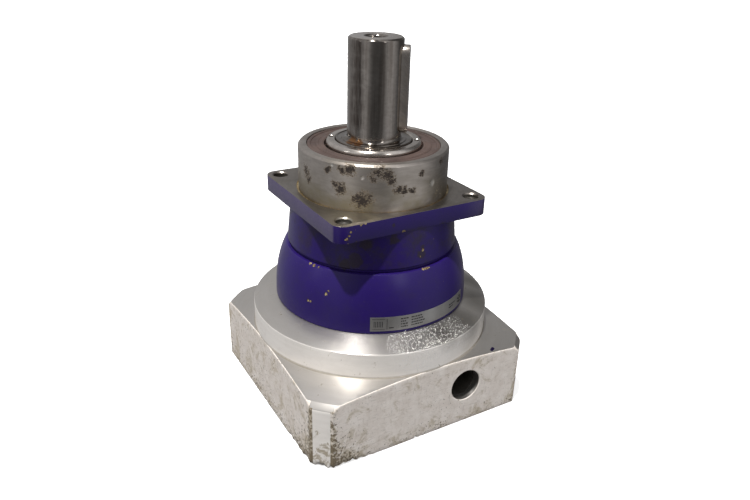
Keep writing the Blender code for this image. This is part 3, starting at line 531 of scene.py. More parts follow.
# Painted shade: spots where the disc top's colour is darkened to stand in for the dark surroundings that it
# reflects.
PAINTED_DARK_REFLECTION = [
    (9.0, 0.0680, 0.0650, 0.015),
    (26.0, 0.0680, 0.0650, 0.022),
    (50.0, 0.0680, 0.0650, 0.024),
    (72.0, 0.0680, 0.0650, 0.020),
]
RED_SPECK = [(-28.8, 0.0659, 0.0645, 0.0009)]


def purple_paint():
    n = Nodes("purple_enamel")
    x, _, z = n.xyz()
    drift = n.noise(28.0, 4.0, 0.6)
    body = n.colours(drift, (0.3, (0.0165, 0.0068, 0.098)), (0.7, (0.021, 0.0092, 0.116)))
    grime = n.band(n.noise(70.0, 6.0, 0.7), 0.46, 0.76)
    neck = n.times(n.band(z, BELL_TOP, BELL_TOP + 0.003), n.band(z, FLANGE_BOTTOM + 0.002, FLANGE_BOTTOM))
    grime = n.times(grime, n.span(neck, 0.25, 0.9))
    body = n.mix(grime, body, (0.026, 0.020, 0.036))
    # Brown oil and dust near the underside of the flange and low on the neck.
    oily = n.times(neck, n.band(n.noise(45.0, 5.0, 0.65), 0.44, 0.66))
    stains = n.band(n.spots(PAINT_STAINS, 1.0, 0.0, 0.006), 0.10, 0.55)
    body = n.mix(n.most(n.times(oily, 0.5), n.times(stains, 0.72)), body, (0.026, 0.019, 0.016))
    # Chips down to the primer and the bare steel.
    ledge = n.near(z, BELL_TOP, 0.0010)
    edge = n.most(n.near(z, FLANGE_TOP, 0.0008), n.near(z, FLANGE_BOTTOM, 0.0008))
    corner = n.times(edge, n.band(n.radius(), 0.0500, 0.0600))
    rims = n.most(n.times(ledge, 0.05), n.times(corner, 0.06))
    specks = n.plus(n.noise(520.0, 4.0, 0.55), rims)
    specks = n.plus(specks, n.times(n.noise(60.0, 2.0), 0.16))
    marks = n.spots(PAINT_CHIPS, 1.3, 0.3, 0.0035)
    chip = n.most(n.band(specks, 0.835, 0.85), n.band(marks, 0.40, 0.60))
    rim = n.most(n.band(specks, 0.82, 0.835), n.band(marks, 0.10, 0.40))
    bare = n.colours(n.noise(1100.0, 4.0), (0.40, (0.085, 0.045, 0.025)), (0.62, (0.42, 0.33, 0.17)))
    body = n.mix(n.times(rim, 0.8), body, (0.030, 0.022, 0.030))
    body = n.mix(chip, body, bare)
    # Pale dust and painted sheen: fine pale specks, thick at the bell's two silhouettes and on one flange
    # side, where the haze stands in for grazing reflection.
    flange_side_sheen = n.times(n.band(x, -0.0500, -0.0504), n.band(z, FLANGE_BOTTOM - 0.001, FLANGE_BOTTOM))
    sheen_and_dust = n.most(n.spots(SHEEN_AND_DUST_SIDES, 1.0, 0.0), flange_side_sheen)
    speckled_sheen_and_dust = n.times(sheen_and_dust, n.span(n.noise(620.0, 6.0, 0.75), 0.2, 1.0))
    body = n.mix(n.times(speckled_sheen_and_dust, 0.72), body, (0.17, 0.150, 0.185))
    dust = n.band(n.noise(1500.0, 2.0, 0.5), 0.70, 0.80)
    body = n.mix(n.times(dust, 0.30), body, (0.20, 0.17, 0.23))
    rough = n.span(n.noise(120.0, 5.0, 0.6), 0.24, 0.38)
    rough = n.plus(rough, n.times(n.most(grime, chip), 0.20))
    peel = n.bump(n.noise(700.0, 2.0, 0.5), 0.12, 0.0003)
    normal = n.bump(chip, 0.5, -0.0002, peel)
    return n.finish(body, rough, 0.0, normal, Specular_IOR_Level=0.25)


def bare_steel(name, tone, rough, lines, brushed, rust=0.0, warm=0.0, foot=None, marks=((), (), ())):
    """Turned or ground steel: fine round lines, smudges and, where asked, rust, stains, dents with a
    painted glint, and spots of painted light.
    """
    n = Nodes(name)
    z = n.xyz()[2]
    blotches, streak, painted_light_spots = marks
    fine = n.noise(1.0, 3.0, 0.6, n.round_lines(2.0, 5200.0))
    broad = n.noise(1.0, 4.0, 0.6, n.round_lines(6.0, 500.0))
    light = (tone * 1.10, tone * 1.05 * (1 - 0.04 * warm), tone * 1.0 * (1 - 0.08 * warm))
    dark = (tone * 0.90, tone * 0.85 * (1 - 0.04 * warm), tone * 0.81 * (1 - 0.08 * warm))
    body = n.colours(broad, (0.35, dark), (0.65, light))
    smudge = n.band(n.noise(38.0, 5.0, 0.62, n.scaled((1.0, 1.0, 2.2)), 0.6), 0.40, 0.72)
    share = 0.15 if streak else 0.55
    body = n.mix(n.times(smudge, share), body, (tone * 0.50, tone * 0.45, tone * 0.37))
    surface = n.span(fine, 0.8 * rough, 1.25 * rough)
    surface = n.plus(surface, n.times(smudge, 0.18 * share))
    normal = n.bump(fine, lines, 0.00012)
    metallic = 1.0
    if foot is not None:
        low, high, cover, tint = foot
        stained = n.times(n.band(z, high, low), n.band(n.noise(60.0, 3.0), 0.34, 0.62))
        body = n.mix(n.times(stained, cover), body, tint)
    if rust:
        grain = n.noise(820.0, 7.0, 0.78, n.scaled((1.0, 1.0, 1.8)))
        spots = n.noise(150.0, 6.0, 0.72, n.scaled((1.0, 1.0, 1.8)), 0.5)
        spots = n.plus(n.times(grain, 0.68), n.times(spots, 0.32))
        where = n.times(n.noise(26.0, 3.0, 0.6), 0.16)
        if blotches:
            where = n.plus(where, n.times(n.spots(blotches, 1.5, 0.0, 0.006), 0.235))
        level = n.plus(spots, where)
        halo = n.band(level, 0.715 - 0.05 * rust, 0.80 - 0.05 * rust)
        core = n.band(level, 0.790 - 0.05 * rust, 0.815 - 0.05 * rust)
        body = n.mix(n.times(halo, 0.65), body, (0.16, 0.11, 0.055))
        body = n.mix(n.times(core, 0.95), body, (0.012, 0.006, 0.004))
        surface = n.plus(surface, n.times(halo, 0.20))
        metallic = n.span(core, 1.0, 0.15)
        normal = n.bump(core, 0.35, -0.00025, normal)
    # Painted light: the colour is lightened in these spots.
    if painted_light_spots:
        lit = n.times(n.spots(painted_light_spots, 1.0, 0.0, 0.006), n.span(n.noise(90.0, 5.0, 0.6), 0.5, 1.0))
        body = n.mix(lit, body, (tone * 1.75, tone * 1.62, tone * 1.32))
    if rust >= 1.0:
        # Dents: a pressed-in bump, and a pale colour in the middle that paints the glint of light in them.
        dents = n.spots(PILOT_DENTS_AND_GLINTS, 1.2, 0.2, 0.0015)
        body = n.mix(n.times(dents, 0.6), body, (0.75, 0.73, 0.68))
        normal = n.bump(dents, 0.6, -0.0004, normal)
    if streak:
        upright = n.noise(1.0, 3.0, 0.6, n.scaled((330.0, 330.0, 14.0)))
        body = n.mix(n.times(n.band(upright, 0.42, 0.66), 0.5), body, (0.10, 0.078, 0.062))
        ragged = n.noise(1.0, 4.0, 0.6, n.scaled((900.0, 900.0, 60.0)))
        dark = n.times(n.spots(streak, 1.2, 0.3), n.band(ragged, 0.30, 0.62))
        body = n.mix(n.times(dark, 0.7), body, (0.050, 0.034, 0.026))
        orange = n.band(n.spots(SHAFT_RUST, 1.0, 0.0, 0.003), 0.15, 0.6)
        body = n.mix(n.times(orange, 0.8), body, (0.26, 0.11, 0.025))
    if brushed:
        n.brushed_round(brushed)
    return n.finish(body, surface, metallic, normal)


def groove_gold_highlight():
    # Golden brown on the relief groove round the pilot's foot, made bright and metallic as a painted
    # highlight along the groove's edge.
    n = Nodes("groove_painted_highlight")
    body = n.colours(n.noise(90.0, 5.0, 0.6), (0.35, (0.16, 0.10, 0.04)), (0.65, (0.62, 0.50, 0.27)))
    return n.finish(body, n.span(n.noise(300.0), 0.28, 0.50), 0.9, n.bump(n.noise(800.0), 0.2, 0.0002))


def turned_aluminium(name, tone, metallic_share):
    n = Nodes(name)
    z = n.xyz()[2]
    fine = n.noise(1.0, 2.0, 0.5, n.round_lines(1.6, 5200.0))
    broad = n.noise(1.0, 3.0, 0.6, n.round_lines(3.0, 300.0))
    dark = (0.96 * tone, 0.915 * tone, 0.86 * tone)
    body = n.colours(broad, (0.3, dark), (0.7, (1.04 * tone, 0.995 * tone, 0.94 * tone)))
    # Painted dark reflection: the disc top is darkened in these spots.
    painted_dark_reflection = n.times(n.spots(PAINTED_DARK_REFLECTION, 1.0, 0.0, 0.004), 0.85)
    body = n.mix(painted_dark_reflection, body, (0.22, 0.205, 0.185))
    dust = n.band(n.noise(140.0, 7.0, 0.72, distortion=0.5), 0.48, 0.76)
    body = n.mix(n.times(dust, 0.18), body, (0.50, 0.46, 0.40))
    # Small dents and scrapes, most of them on one part of the disc.
    ragged = n.plus(n.spots(SCUFFED_RIM), n.times(n.noise(55.0, 3.0), 0.35))
    area = n.band(ragged, 0.35, 0.75)
    flecks = n.band(n.noise(900.0, 4.0, 0.6), 0.56, 0.64)
    scrape = n.band(n.noise(1.0, 3.0, 0.6, n.scaled((1700.0, 300.0, 900.0))), 0.58, 0.66)
    dents = n.times(n.most(flecks, scrape), area)
    body = n.mix(n.times(dents, 0.55), body, (0.86, 0.85, 0.83))
    # Dirt left where the disc meets the block, and small specks everywhere.
    seam = n.times(n.near(n.radius(), DISC_R, 0.0012), n.near(z, PLATE_TOP, 0.0016))
    seam = n.times(seam, n.span(n.noise(160.0, 4.0, 0.6), 0.45, 1.0))
    specks = n.band(n.noise(300.0, 5.0, 0.65), 0.66, 0.71)
    specks = n.times(specks, n.band(n.noise(30.0, 2.0), 0.48, 0.60))
    dirt = n.most(n.times(specks, 0.8), n.times(seam, 0.85))
    body = n.mix(dirt, body, (0.17, 0.13, 0.07))
    corner = n.times(n.spots(DIRTY_CORNER, 0.9, 0.1), 0.15)
    foul = n.band(n.plus(n.noise(170.0, 8.0, 0.76, distortion=0.8), corner), 0.60, 0.70)
    body = n.mix(n.times(foul, 0.75), body, (0.26, 0.20, 0.11))
    dirt = n.most(dirt, foul)
    body = n.mix(n.band(n.spots(PURPLE_DASH, 1.0, 0.0, 0.001), 0.2, 0.6), body, (0.03, 0.015, 0.10))
    body = n.mix(n.band(n.spots(RED_SPECK, 1.0, 0.0, 0.001), 0.2, 0.6), body, (0.25, 0.03, 0.02))
    rough = n.span(fine, 0.27, 0.37)
    rough = n.plus(rough, n.times(n.most(n.times(dust, 0.2), dirt), 0.20))
    normal = n.bump(fine, 0.06, 0.00012)
    normal = n.bump(dents, 0.45, -0.0002, normal)
    n.brushed_round(0.65)
    metallic = n.span(dirt, metallic_share, 0.4 * metallic_share)
    return n.finish(body, rough, metallic, normal)


def milled_aluminium():
    """The block's sides: dull, scratched and dirty, most of all low down and at the edges."""
    n = Nodes("milled_aluminium")
    x, _, z = n.xyz()
    mottle = n.noise(150.0, 7.0, 0.75)
    body = n.colours(mottle, (0.34, (0.80, 0.725, 0.655)), (0.66, (0.97, 0.91, 0.85)))
    cross = n.noise(1.0, 4.0, 0.6, n.scaled((230.0, 230.0, 1300.0)))
    slant = n.noise(1.0, 4.0, 0.6, n.scaled((900.0, 900.0, 210.0)))
    lines = n.most(n.band(cross, 0.54, 0.70), n.band(slant, 0.58, 0.70))
    body = n.mix(n.times(lines, 0.40), body, (0.50, 0.45, 0.39))
    corner = n.spots(DIRTY_CORNER, 1.0, 0.1)
    left = n.band(x, -0.066, -0.074)
    arris = n.times(n.near(n.radius(), PLATE_CORNER_R, 0.0026), 0.09)
    low = n.plus(n.times(n.band(z, 0.012, 0.0), 0.07), n.times(corner, 0.13))
    low = n.plus(n.plus(low, arris), n.times(left, 0.035))
    stain = n.plus(n.noise(85.0, 8.0, 0.74, distortion=0.9), low)
    stained = n.band(stain, 0.53, 0.68)
    body = n.mix(n.times(stained, 0.62), body, (0.36, 0.29, 0.17))
    # Black specks, and chips along the edges.
    grit = n.plus(n.noise(560.0, 5.0, 0.62), low)
    grit = n.plus(grit, n.times(n.noise(48.0, 3.0), 0.20))
    pits = n.band(grit, 0.745, 0.785)
    body = n.mix(n.times(pits, 0.85), body, (0.13, 0.095, 0.05))
    rough = n.span(mottle, 0.40, 0.60)
    rough = n.plus(rough, n.times(n.most(stained, pits), 0.15))
    normal = n.bump(mottle, 0.35, 0.0004)
    normal = n.bump(lines, 0.25, -0.0002, normal)
    normal = n.bump(pits, 0.6, -0.0004, normal)
    metallic = n.span(n.most(stained, pits), 0.30, 0.05)
    return n.finish(body, rough, metallic, normal)


def bore_painted_shade():
    """Painted shade inside the bores of the adapter plate and the flange's holes: a near-black colour for
    the shade deep in them, with old grease and casting skin.
    """
    n = Nodes("bore_painted_shade")
    body = n.colours(n.noise(110.0, 5.0, 0.6), (0.35, (0.045, 0.040, 0.033)), (0.65, (0.10, 0.092, 0.080)))
    return n.finish(body, n.span(n.noise(300.0), 0.35, 0.55), 0.3, n.bump(n.noise(700.0), 0.2, 0.0002))


def rubber(name, light, dark, rough):
    n = Nodes(name)
    body = n.colours(n.noise(60.0, 5.0, 0.6), (0.35, dark), (0.65, light))
    dust = n.band(n.noise(180.0, 5.0, 0.6), 0.56, 0.74)
    grey = tuple(0.5 * c + 0.06 for c in light)
    body = n.mix(n.times(dust, 0.4), body, grey)
    surface = n.span(n.noise(240.0, 3.0), rough - 0.08, rough + 0.10)
    return n.finish(body, surface, 0.0, n.bump(n.noise(1400.0, 2.0), 0.15, 0.0001))


def plain_metal(name, tone, rough, scale=300.0, metallic=1.0, round_lines=True):
    """Inner machined pieces and fasteners."""
    n = Nodes(name)
    place = n.round_lines(2.0, 3000.0) if round_lines else n.scaled((scale, scale, scale))
    grain = n.noise(1.0, 3.0, 0.6, place)
    wear = n.band(n.noise(80.0, 5.0, 0.6), 0.42, 0.68)
    body = n.mix(wear, tuple(c * 0.85 for c in tone), tuple(min(1.0, c * 1.2) for c in tone))
    return n.finish(body, n.span(grain, rough - 0.06, rough + 0.12), metallic, n.bump(grain, 0.06, 0.0001))


def foil():
    n = Nodes("nameplate_foil")
    grain = n.noise(1.0, 2.0, 0.5, n.scaled((300.0, 300.0, 5000.0)))
    body = n.colours(n.noise(80.0, 4.0), (0.3, (0.26, 0.255, 0.25)), (0.7, (0.36, 0.355, 0.35)))
    return n.finish(body, n.span(grain, 0.30, 0.42), 0.75, n.bump(n.noise(500.0), 0.08, 0.0001))


def ink():
    n = Nodes("label_ink")
    body = n.colours(n.noise(900.0, 3.0), (0.4, (0.010, 0.010, 0.011)), (0.7, (0.03, 0.03, 0.032)))
    return n.finish(body, n.span(n.noise(600.0), 0.5, 0.65), 0.0)


PAINT = purple_paint()
OLIVE = (0.25, 0.21, 0.12)
UMBER = (0.10, 0.07, 0.04)
# The stained foot of a turned face: from here up to there, how strongly, and its colour.
PILOT_FOOT = (FLANGE_TOP, PILOT_TOP - 0.004, 0.6, OLIVE)
SHAFT_FOOT = (SHOULDER_Z, SHOULDER_Z + 0.002, 0.6, UMBER)
PILOT_MARKS = (RUST_BLOTCHES, (), ())
PILOT_STEEL = bare_steel("pilot_steel", 0.45, 0.38, 0.05, 0.5, 1.0, 1.0, PILOT_FOOT, PILOT_MARKS)
FLANGE_STEEL = bare_steel("flange_steel", 0.27, 0.32, 0.08, 0.0, 0.4, 1.2, None, ((), (), PAINTED_LIGHT_CORNER))
SHAFT_STEEL = bare_steel("shaft_steel", 0.29, 0.10, 0.004, 0.5, 0.0, 0.9, SHAFT_FOOT, ((), SHAFT_STAIN, ()))
NUT_STEEL = bare_steel("nut_steel", 0.60, 0.22, 0.08, 0.4, warm=0.8)
KEY_STEEL = bare_steel("key_steel", 0.50, 0.26, 0.05, 0.0, warm=0.9)
GROOVE_HIGHLIGHT = groove_gold_highlight()
# Painted light: the disc's rim and the corner facets take a lighter, less metallic copy of the disc top's
# turned aluminium, so that the upright sides read brighter than the top.
DISC_ALUMINIUM = turned_aluminium("turned_aluminium", 0.56, 0.90)
LIT_RIM_ALUMINIUM = turned_aluminium("turned_aluminium_rim_lit_copy", 0.91, 0.28)
BORE_SHADE = bore_painted_shade()
BLOCK_ALUMINIUM = milled_aluminium()
BROWN_RUBBER = rubber("brown_rubber", (0.082, 0.053, 0.044), (0.048, 0.030, 0.025), 0.55)
BLACK_RUBBER = rubber("black_rubber", (0.028, 0.028, 0.028), (0.015, 0.015, 0.015), 0.6)
SCREW_BLACK = plain_metal("black_oxide_screw", (0.045, 0.045, 0.05), 0.42, round_lines=False)
GEAR_STEEL = plain_metal("gear_steel", (0.30, 0.30, 0.31), 0.30)
BEARING_STEEL = plain_metal("bearing_steel", (0.42, 0.42, 0.42), 0.18)
MACHINED_STEEL = plain_metal("machined_steel", (0.33, 0.33, 0.33), 0.34)
SPRING_STEEL = plain_metal("spring_steel", (0.09, 0.09, 0.10), 0.40, round_lines=False)
FOIL = foil()
INK = ink()


# ---- housing


def round_the_axis(radius, degrees):
    """The level place at this radius and angle from +X."""
    angle = math.radians(degrees)
    return radius * math.cos(angle), radius * math.sin(angle)


def rounded_square(half, corner, steps=12):
    points = []
    for quarter in range(4):
        turn = math.pi / 2 * quarter
        centre = Matrix.Rotation(turn, 2) @ Vector((half - corner, half - corner))
        for step in range(steps + 1):
            angle = turn + math.pi / 2 * step / steps
            points.append((centre.x + corner * math.cos(angle), centre.y + corner * math.sin(angle)))
    return points


def make_output_housing():
    """Pilot and neck are turned; the square flange is joined to them, then drilled."""
    turned_body = turned(
        "output_housing_fine",
        [
            (SEAL_R + 0.0003, PILOT_TOP, 0.0004), (PILOT_R - 0.0012, PILOT_TOP, 0.0003),
            (PILOT_R, PILOT_TOP - 0.0012, 0.0003), (PILOT_R, FLANGE_TOP - 0.0008, 0.0002),
            (0.0498, FLANGE_TOP - 0.0008), (NECK_TOP_R, FLANGE_BOTTOM + 0.001),
            (NECK_TOP_R + 0.0002, FLANGE_BOTTOM - 0.0016, 0.001),
            (NECK_FOOT_R, NECK_FOOT_Z + 0.0008, 0.0004), (NECK_FOOT_R - 0.0008, NECK_FOOT_Z, 0.0003),
            (NECK_STEP_R, NECK_FOOT_Z), (NECK_STEP_R, BELL_TOP + 0.0003),
            (SPIGOT_R, BELL_TOP + 0.0003), (SPIGOT_R, 0.1013), (O_RING_GROOVE_R, 0.1013),
            (O_RING_GROOVE_R, 0.0989), (SPIGOT_R, 0.0989), (SPIGOT_R, 0.0980),
            (REAR_BEARING_R, 0.0980), (REAR_BEARING_R, 0.1273), (BEARING_RIB_R, 0.1273),
            (BEARING_RIB_R, 0.1307), (FRONT_BEARING_R, 0.1307), (FRONT_BEARING_R, 0.1513),
            (SEAL_R + 0.0003, 0.1513),
        ],
    )
    plate = extruded(
        "flange",
        [rounded_square(FLANGE_HALF, FLANGE_CORNER_R), circle(RELIEF_R, ROUND)],
        FLANGE_BOTTOM,
        FLANGE_TOP,
    )
    bevelled(plate, 0.0005, 3)
    combined(turned_body, [plate], "UNION")
    cutters = []
    high = FLANGE_TOP + 0.0004
    for quarter in range(4):
        at = round_the_axis(FLANGE_HOLE_CIRCLE_R, 45.0 + 90.0 * quarter)
        cutters.append(drill("mouth", FLANGE_HOLE_R + 0.00002, FLANGE_TOP - 0.002, high, at, 0.0007))
        cutters.append(drill("hole", FLANGE_HOLE_R, FLANGE_BOTTOM - 0.01, high, at))
    combined(turned_body, cutters)
    finishes = (PAINT, PILOT_STEEL, FLANGE_STEEL, GROOVE_HIGHLIGHT, BORE_SHADE)
    dress(turned_body, "housing", "purple_paint", ["output_housing"], *finishes)
    _, pilot, flange, groove, bore = range(len(finishes))
    for face in turned_body.data.polygons:
        centre = face.center
        reach = math.hypot(centre.x, centre.y)
        corner = FLANGE_HOLE_CIRCLE_R / math.sqrt(2.0)
        from_hole = math.hypot(abs(centre.x) - corner, abs(centre.y) - corner)
        # Painted shade: the hole walls below the mouth take the near-black bore colour.
        if from_hole < FLANGE_HOLE_R + 0.0001 and centre.z < FLANGE_TOP - 0.0008:
            face.material_index = bore
        elif from_hole < FLANGE_HOLE_R + 0.0009 and centre.z > FLANGE_TOP - 0.0022:
            face.material_index = flange
        elif centre.z > FLANGE_TOP + 0.0002 and reach < PILOT_R + 0.0003:
            face.material_index = pilot
        # Painted highlight: the relief groove's faces take the bright golden groove colour.
        elif reach < RELIEF_R + 0.0002 and centre.z > FLANGE_TOP - 0.0015 and reach > 0.0448:
            face.material_index = groove
        elif centre.z > FLANGE_TOP - 0.0002:
            face.material_index = flange
        elif reach < 0.0404:
            face.material_index = pilot


def bell_radius(height):
    down = (BELL_TOP - height) / (BELL_TOP - BELL_FOOT)
    down = min(1.0, max(0.0, down))
    return BELL_TOP_R + (BELL_R - BELL_TOP_R) * (1 - (1 - down) ** 2.5) ** 0.9


def make_bell():
    steps = 30
    outside = []
    for i in range(1, steps + 1):
        height = BELL_TOP + (BELL_FOOT - BELL_TOP) * (i / steps) ** 1.3
        outside.append((bell_radius(height), height))
    outside[-1] = (outside[-1][0], outside[-1][1], 0.0003)
    bell = turned(
        "gear_housing_fine",
        [(BELL_TOP_R, BELL_TOP, 0.0006)]
        + outside
        + [
            (0.0449, BELL_FOOT), (0.0449, 0.0718), (RING_GEAR_R, 0.0718), (RING_GEAR_R, 0.0768),
            (0.0463, 0.0768), (0.0463, BELL_TOP),
        ],
    )
    dress(bell, "housing", "purple_paint", ["gear_housing"], PAINT)


def plate_reach(angle):
    """Radius of the block's side at this angle: flat sides and turned corners."""
    flat = PLATE_HALF / max(abs(math.cos(angle)), abs(math.sin(angle)))
    return min(PLATE_CORNER_R, flat)


def plate_height(reach):
    """Height of the block's top at this radius: a shallow cone, then the corner chamfer."""
    edge = PLATE_CORNER_R - CORNER_CHAMFER
    cone = PLATE_TOP - PLATE_SLOPE * (min(reach, edge) - DISC_R)
    return cone - max(0.0, reach - edge) * (cone - CORNER_TOP) / CORNER_CHAMFER


def plate_angles():
    """Columns round the block, closer at the edges of the turned corners."""
    edge = math.acos(PLATE_HALF / PLATE_CORNER_R)
    angles = set(even_angles(480))
    for quarter in range(4):
        for sign in (-1.0, 1.0):
            middle = math.pi / 2 * quarter + sign * edge
            for offset in (-0.006, -0.003, 0.0, 0.003, 0.006):
                angles.add((middle + offset) % math.tau)
    return sorted(angles)


def make_adapter_plate():
    ease = 0.0005
    inside = [
        (0.0652, 0.0), (0.0652, RECESS_Z), (0.0405, RECESS_Z), (0.0405, 0.0402), (0.0313, 0.0402),
        (0.0313, 0.0477), (0.0290, 0.0477), (0.0290, 0.0490), (INPUT_BEARING_R, 0.0490),
        (INPUT_BEARING_R, 0.0685), (0.0410, 0.0685),
    ]
    head = eased(
        [
            (0.0410, 0.0715), (0.0446, 0.0715), (0.0446, 0.0705), (0.0427, 0.0705), (0.0427, 0.0681),
            (0.0446, 0.0681), (0.0446, LAND_Z), (LAND_R, LAND_Z),
            (DISC_R - 0.0002, DISC_RIM_TOP, 0.0005), (DISC_R, DISC_RIM_TOP - 0.0006, 0.0003),
            (DISC_R, PLATE_TOP + 0.0004, 0.0004), (DISC_R + 0.0001, PLATE_TOP),
        ],
        closed=False,
    )
    rings = [0.0765, 0.079, 0.082, 0.086, 0.090, 0.0935, PLATE_CORNER_R - CORNER_CHAMFER]

    def chipped(angle):
        """How far the bottom edge is broken off here: little chips, and larger ones at one corner."""
        here = Vector((math.cos(angle), math.sin(angle), 0.0))
        corner = max(0.0, here.dot(azimuth(-45.0)) - 0.93) / 0.07
        rough = noise.noise(here * 34.0) + 0.5 * noise.noise(here * 85.0)
        deep = max(0.0, rough - 0.38) * 0.0035
        return ease + 1.3 * deep + corner * max(0.0, rough + 0.35) * 0.0046

    def profile(angle):
        reach = plate_reach(angle)
        foot = chipped(angle)
        last = max(DISC_R + 0.00005, reach - ease)
        points = list(head)
        for ring in rings:
            here = min(ring, last)
            points.append((here, plate_height(here)))
        top = plate_height(reach)
        points.append((last, plate_height(last)))
        points.append((reach - 0.25 * ease, top - 0.30 * ease))
        points.append((reach, top - ease))
        for share in (0.97, 0.85, 0.65, 0.45, 0.25, 0.12, 0.05):
            points.append((reach, foot * 1.2 + (top - ease - foot * 1.2) * share))
        points.append((reach, foot * 1.1))
        points.append((reach - 0.3 * foot, 0.35 * foot))
        points.append((reach - foot, 0.0))
        return points + inside

    plate = lathe("adapter_plate_fine", profile, plate_angles())
    cutters = []
    outside = PLATE_HALF + 0.0004
    mouth = drill("mouth", ACCESS_R + 0.00003, PLATE_HALF - 0.006, outside, (0.0, 0.0), 0.0004, count=96)
    access = drill("access", ACCESS_R, 0.02, outside, (0.0, 0.0), count=96)
    for cutter in (mouth, access):
        cutter.data.transform(Matrix.Rotation(math.pi / 2, 4, "X"))
        cutter.data.transform(Matrix.Translation((ACCESS_X, 0.0, ACCESS_Z)))
        cutters.append(cutter)
    for quarter in range(4):
        at = round_the_axis(MOTOR_SCREW_CIRCLE_R, 45.0 + 90.0 * quarter)
        cutters.append(drill("thread", 0.0044, -0.0004, 0.028, at, 0.0008, mouth_up=False))
        at = round_the_axis(PLATE_SCREW_CIRCLE_R, 90.0 * quarter)
        cutters.append(drill("seat", 0.0055, RECESS_Z - 0.0004, 0.05, at, 0.0004, mouth_up=False))
        cutters.append(drill("through", 0.0032, 0.045, 0.08, at, count=32))
    combined(plate, cutters)
    finishes = (DISC_ALUMINIUM, BLOCK_ALUMINIUM, LIT_RIM_ALUMINIUM, BORE_SHADE)
    dress(plate, "housing", "adapter_aluminium", ["adapter_plate"], *finishes)
    _, block_side, rim, inner_bore = range(len(finishes))
    for face in plate.data.polygons:
        centre = face.center
        reach = math.hypot(centre.x, centre.y)
        side = abs(face.normal.z) < 0.9 and centre.z < PLATE_TOP - 0.0001
        bore = math.hypot(centre.x - ACCESS_X, centre.z - ACCESS_Z) < ACCESS_R + 0.0001
        # Painted shade: the access bore, deeper than its mouth, takes the near-black bore colour.
        if bore and centre.y < 0.0 and centre.y > -PLATE_HALF + 0.004:
            face.material_index = inner_bore
        elif side and max(abs(centre.x), abs(centre.y)) > PLATE_HALF - 0.0012:
            face.material_index = block_side
        elif side and reach > PLATE_CORNER_R - 0.0004 and centre.z < CORNER_TOP:
            face.material_index = rim
        elif reach > DISC_R - 0.0003 and PLATE_TOP < centre.z < DISC_RIM_TOP and abs(face.normal.z) < 0.5:
            face.material_index = rim
        # Painted shade in the central bore.
        elif reach < 0.0415 and 0.010 < centre.z < 0.0480:
            face.material_index = inner_bore
        elif centre.z < 0.0005:
            face.material_index = block_side


# ---- output pieces


def key_shape(name, width, low_z, high_z, low_r, high_r, edge=0.0):
    """A bar with round ends along the shaft, for the key and the cutter of its keyway."""
    half = width / 2
    reach = (high_z - low_z - width) / 2
    outline = []
    for end in (1.0, -1.0):
        for step in range(25):
            angle = math.pi * step / 24
            outline.append((end * (reach + half * math.sin(angle)), end * half * math.cos(angle)))
    key = extruded(name, [outline], low_r, high_r)
    if edge:
        bevelled(key, edge, 2)
    middle = Matrix.Translation((0.0, 0.0, (low_z + high_z) / 2))
    turn = Matrix.Rotation(math.radians(KEY_DEGREES), 4, "Z")
    key.data.transform(turn @ middle @ Matrix.Rotation(math.pi / 2, 4, "Y"))
    return key


def make_shaft():
    thread = []
    pitch = 0.00175
    depth = 0.0006
    start = SHAFT_TOP - 0.0035
    for i in range(14):
        z = start - 0.0005 - pitch * i
        thread += [(SHAFT_THREAD_R, z), (SHAFT_THREAD_R + depth, z - pitch / 2)]
    points = [(0.0, SHAFT_TOP - 0.0335), (SHAFT_THREAD_R, SHAFT_TOP - 0.0305)]
    points += list(reversed(thread))
    points += [
        (0.0060, start + 0.0002), (0.0062, SHAFT_TOP - 0.0010, 0.0002), (0.0072, SHAFT_TOP, 0.0002),
        (SHAFT_R - 0.0011, SHAFT_TOP, 0.0003), (SHAFT_R, SHAFT_TOP - 0.0011, 0.0003),
        (SHAFT_R, SHOULDER_Z + 0.0012, 0.0008), (SHAFT_R + 0.0012, SHOULDER_Z + 0.0001, 0.0006),
        (0.0190, SHOULDER_Z), (0.0193, SHOULDER_Z - 0.0004), (0.0218, SHOULDER_Z - 0.0004),
        (0.0221, SHOULDER_Z, 0.0001), (0.0225, SHOULDER_Z - 0.0003, 0.0001), (0.0225, 0.1270),
        (0.0250, 0.1270), (0.0250, 0.1067), (0.0320, 0.1067), (0.0320, 0.1055), (0.0382, 0.1055),
        (0.0382, 0.0708), (0.0162, 0.0708), (0.0162, 0.0987), (0.0, 0.0987),
    ]
    shaft = turned("output_shaft_fine", points, closed=False)
    cutters = []
    for i in range(3):
        at = round_the_axis(CARRIER_PIN_CIRCLE_R, 120.0 * i)
        cutters.append(drill("pocket", 0.0158, 0.0765, 0.0990, at, count=64))
        cutters.append(drill("pin_bore", 0.0063, 0.06, 0.1045, at, count=48))
    cutters.append(key_shape("keyway", 0.0106, 0.1697, 0.2203, 0.0110, 0.0250))
    combined(shaft, cutters)
    dress(shaft, "output", "shaft_steel", ["output_shaft"], SHAFT_STEEL, NUT_STEEL)
    for face in shaft.data.polygons:
        if face.center.z > SHAFT_TOP - 0.0004 and face.normal.z > 0.8:
            face.material_index = 1
    key = key_shape("output_key_fine", 0.010, 0.170, 0.220, 0.0113, 0.0193, 0.0005)
    dress(key, "output", "key_steel", ["output_key"], KEY_STEEL)


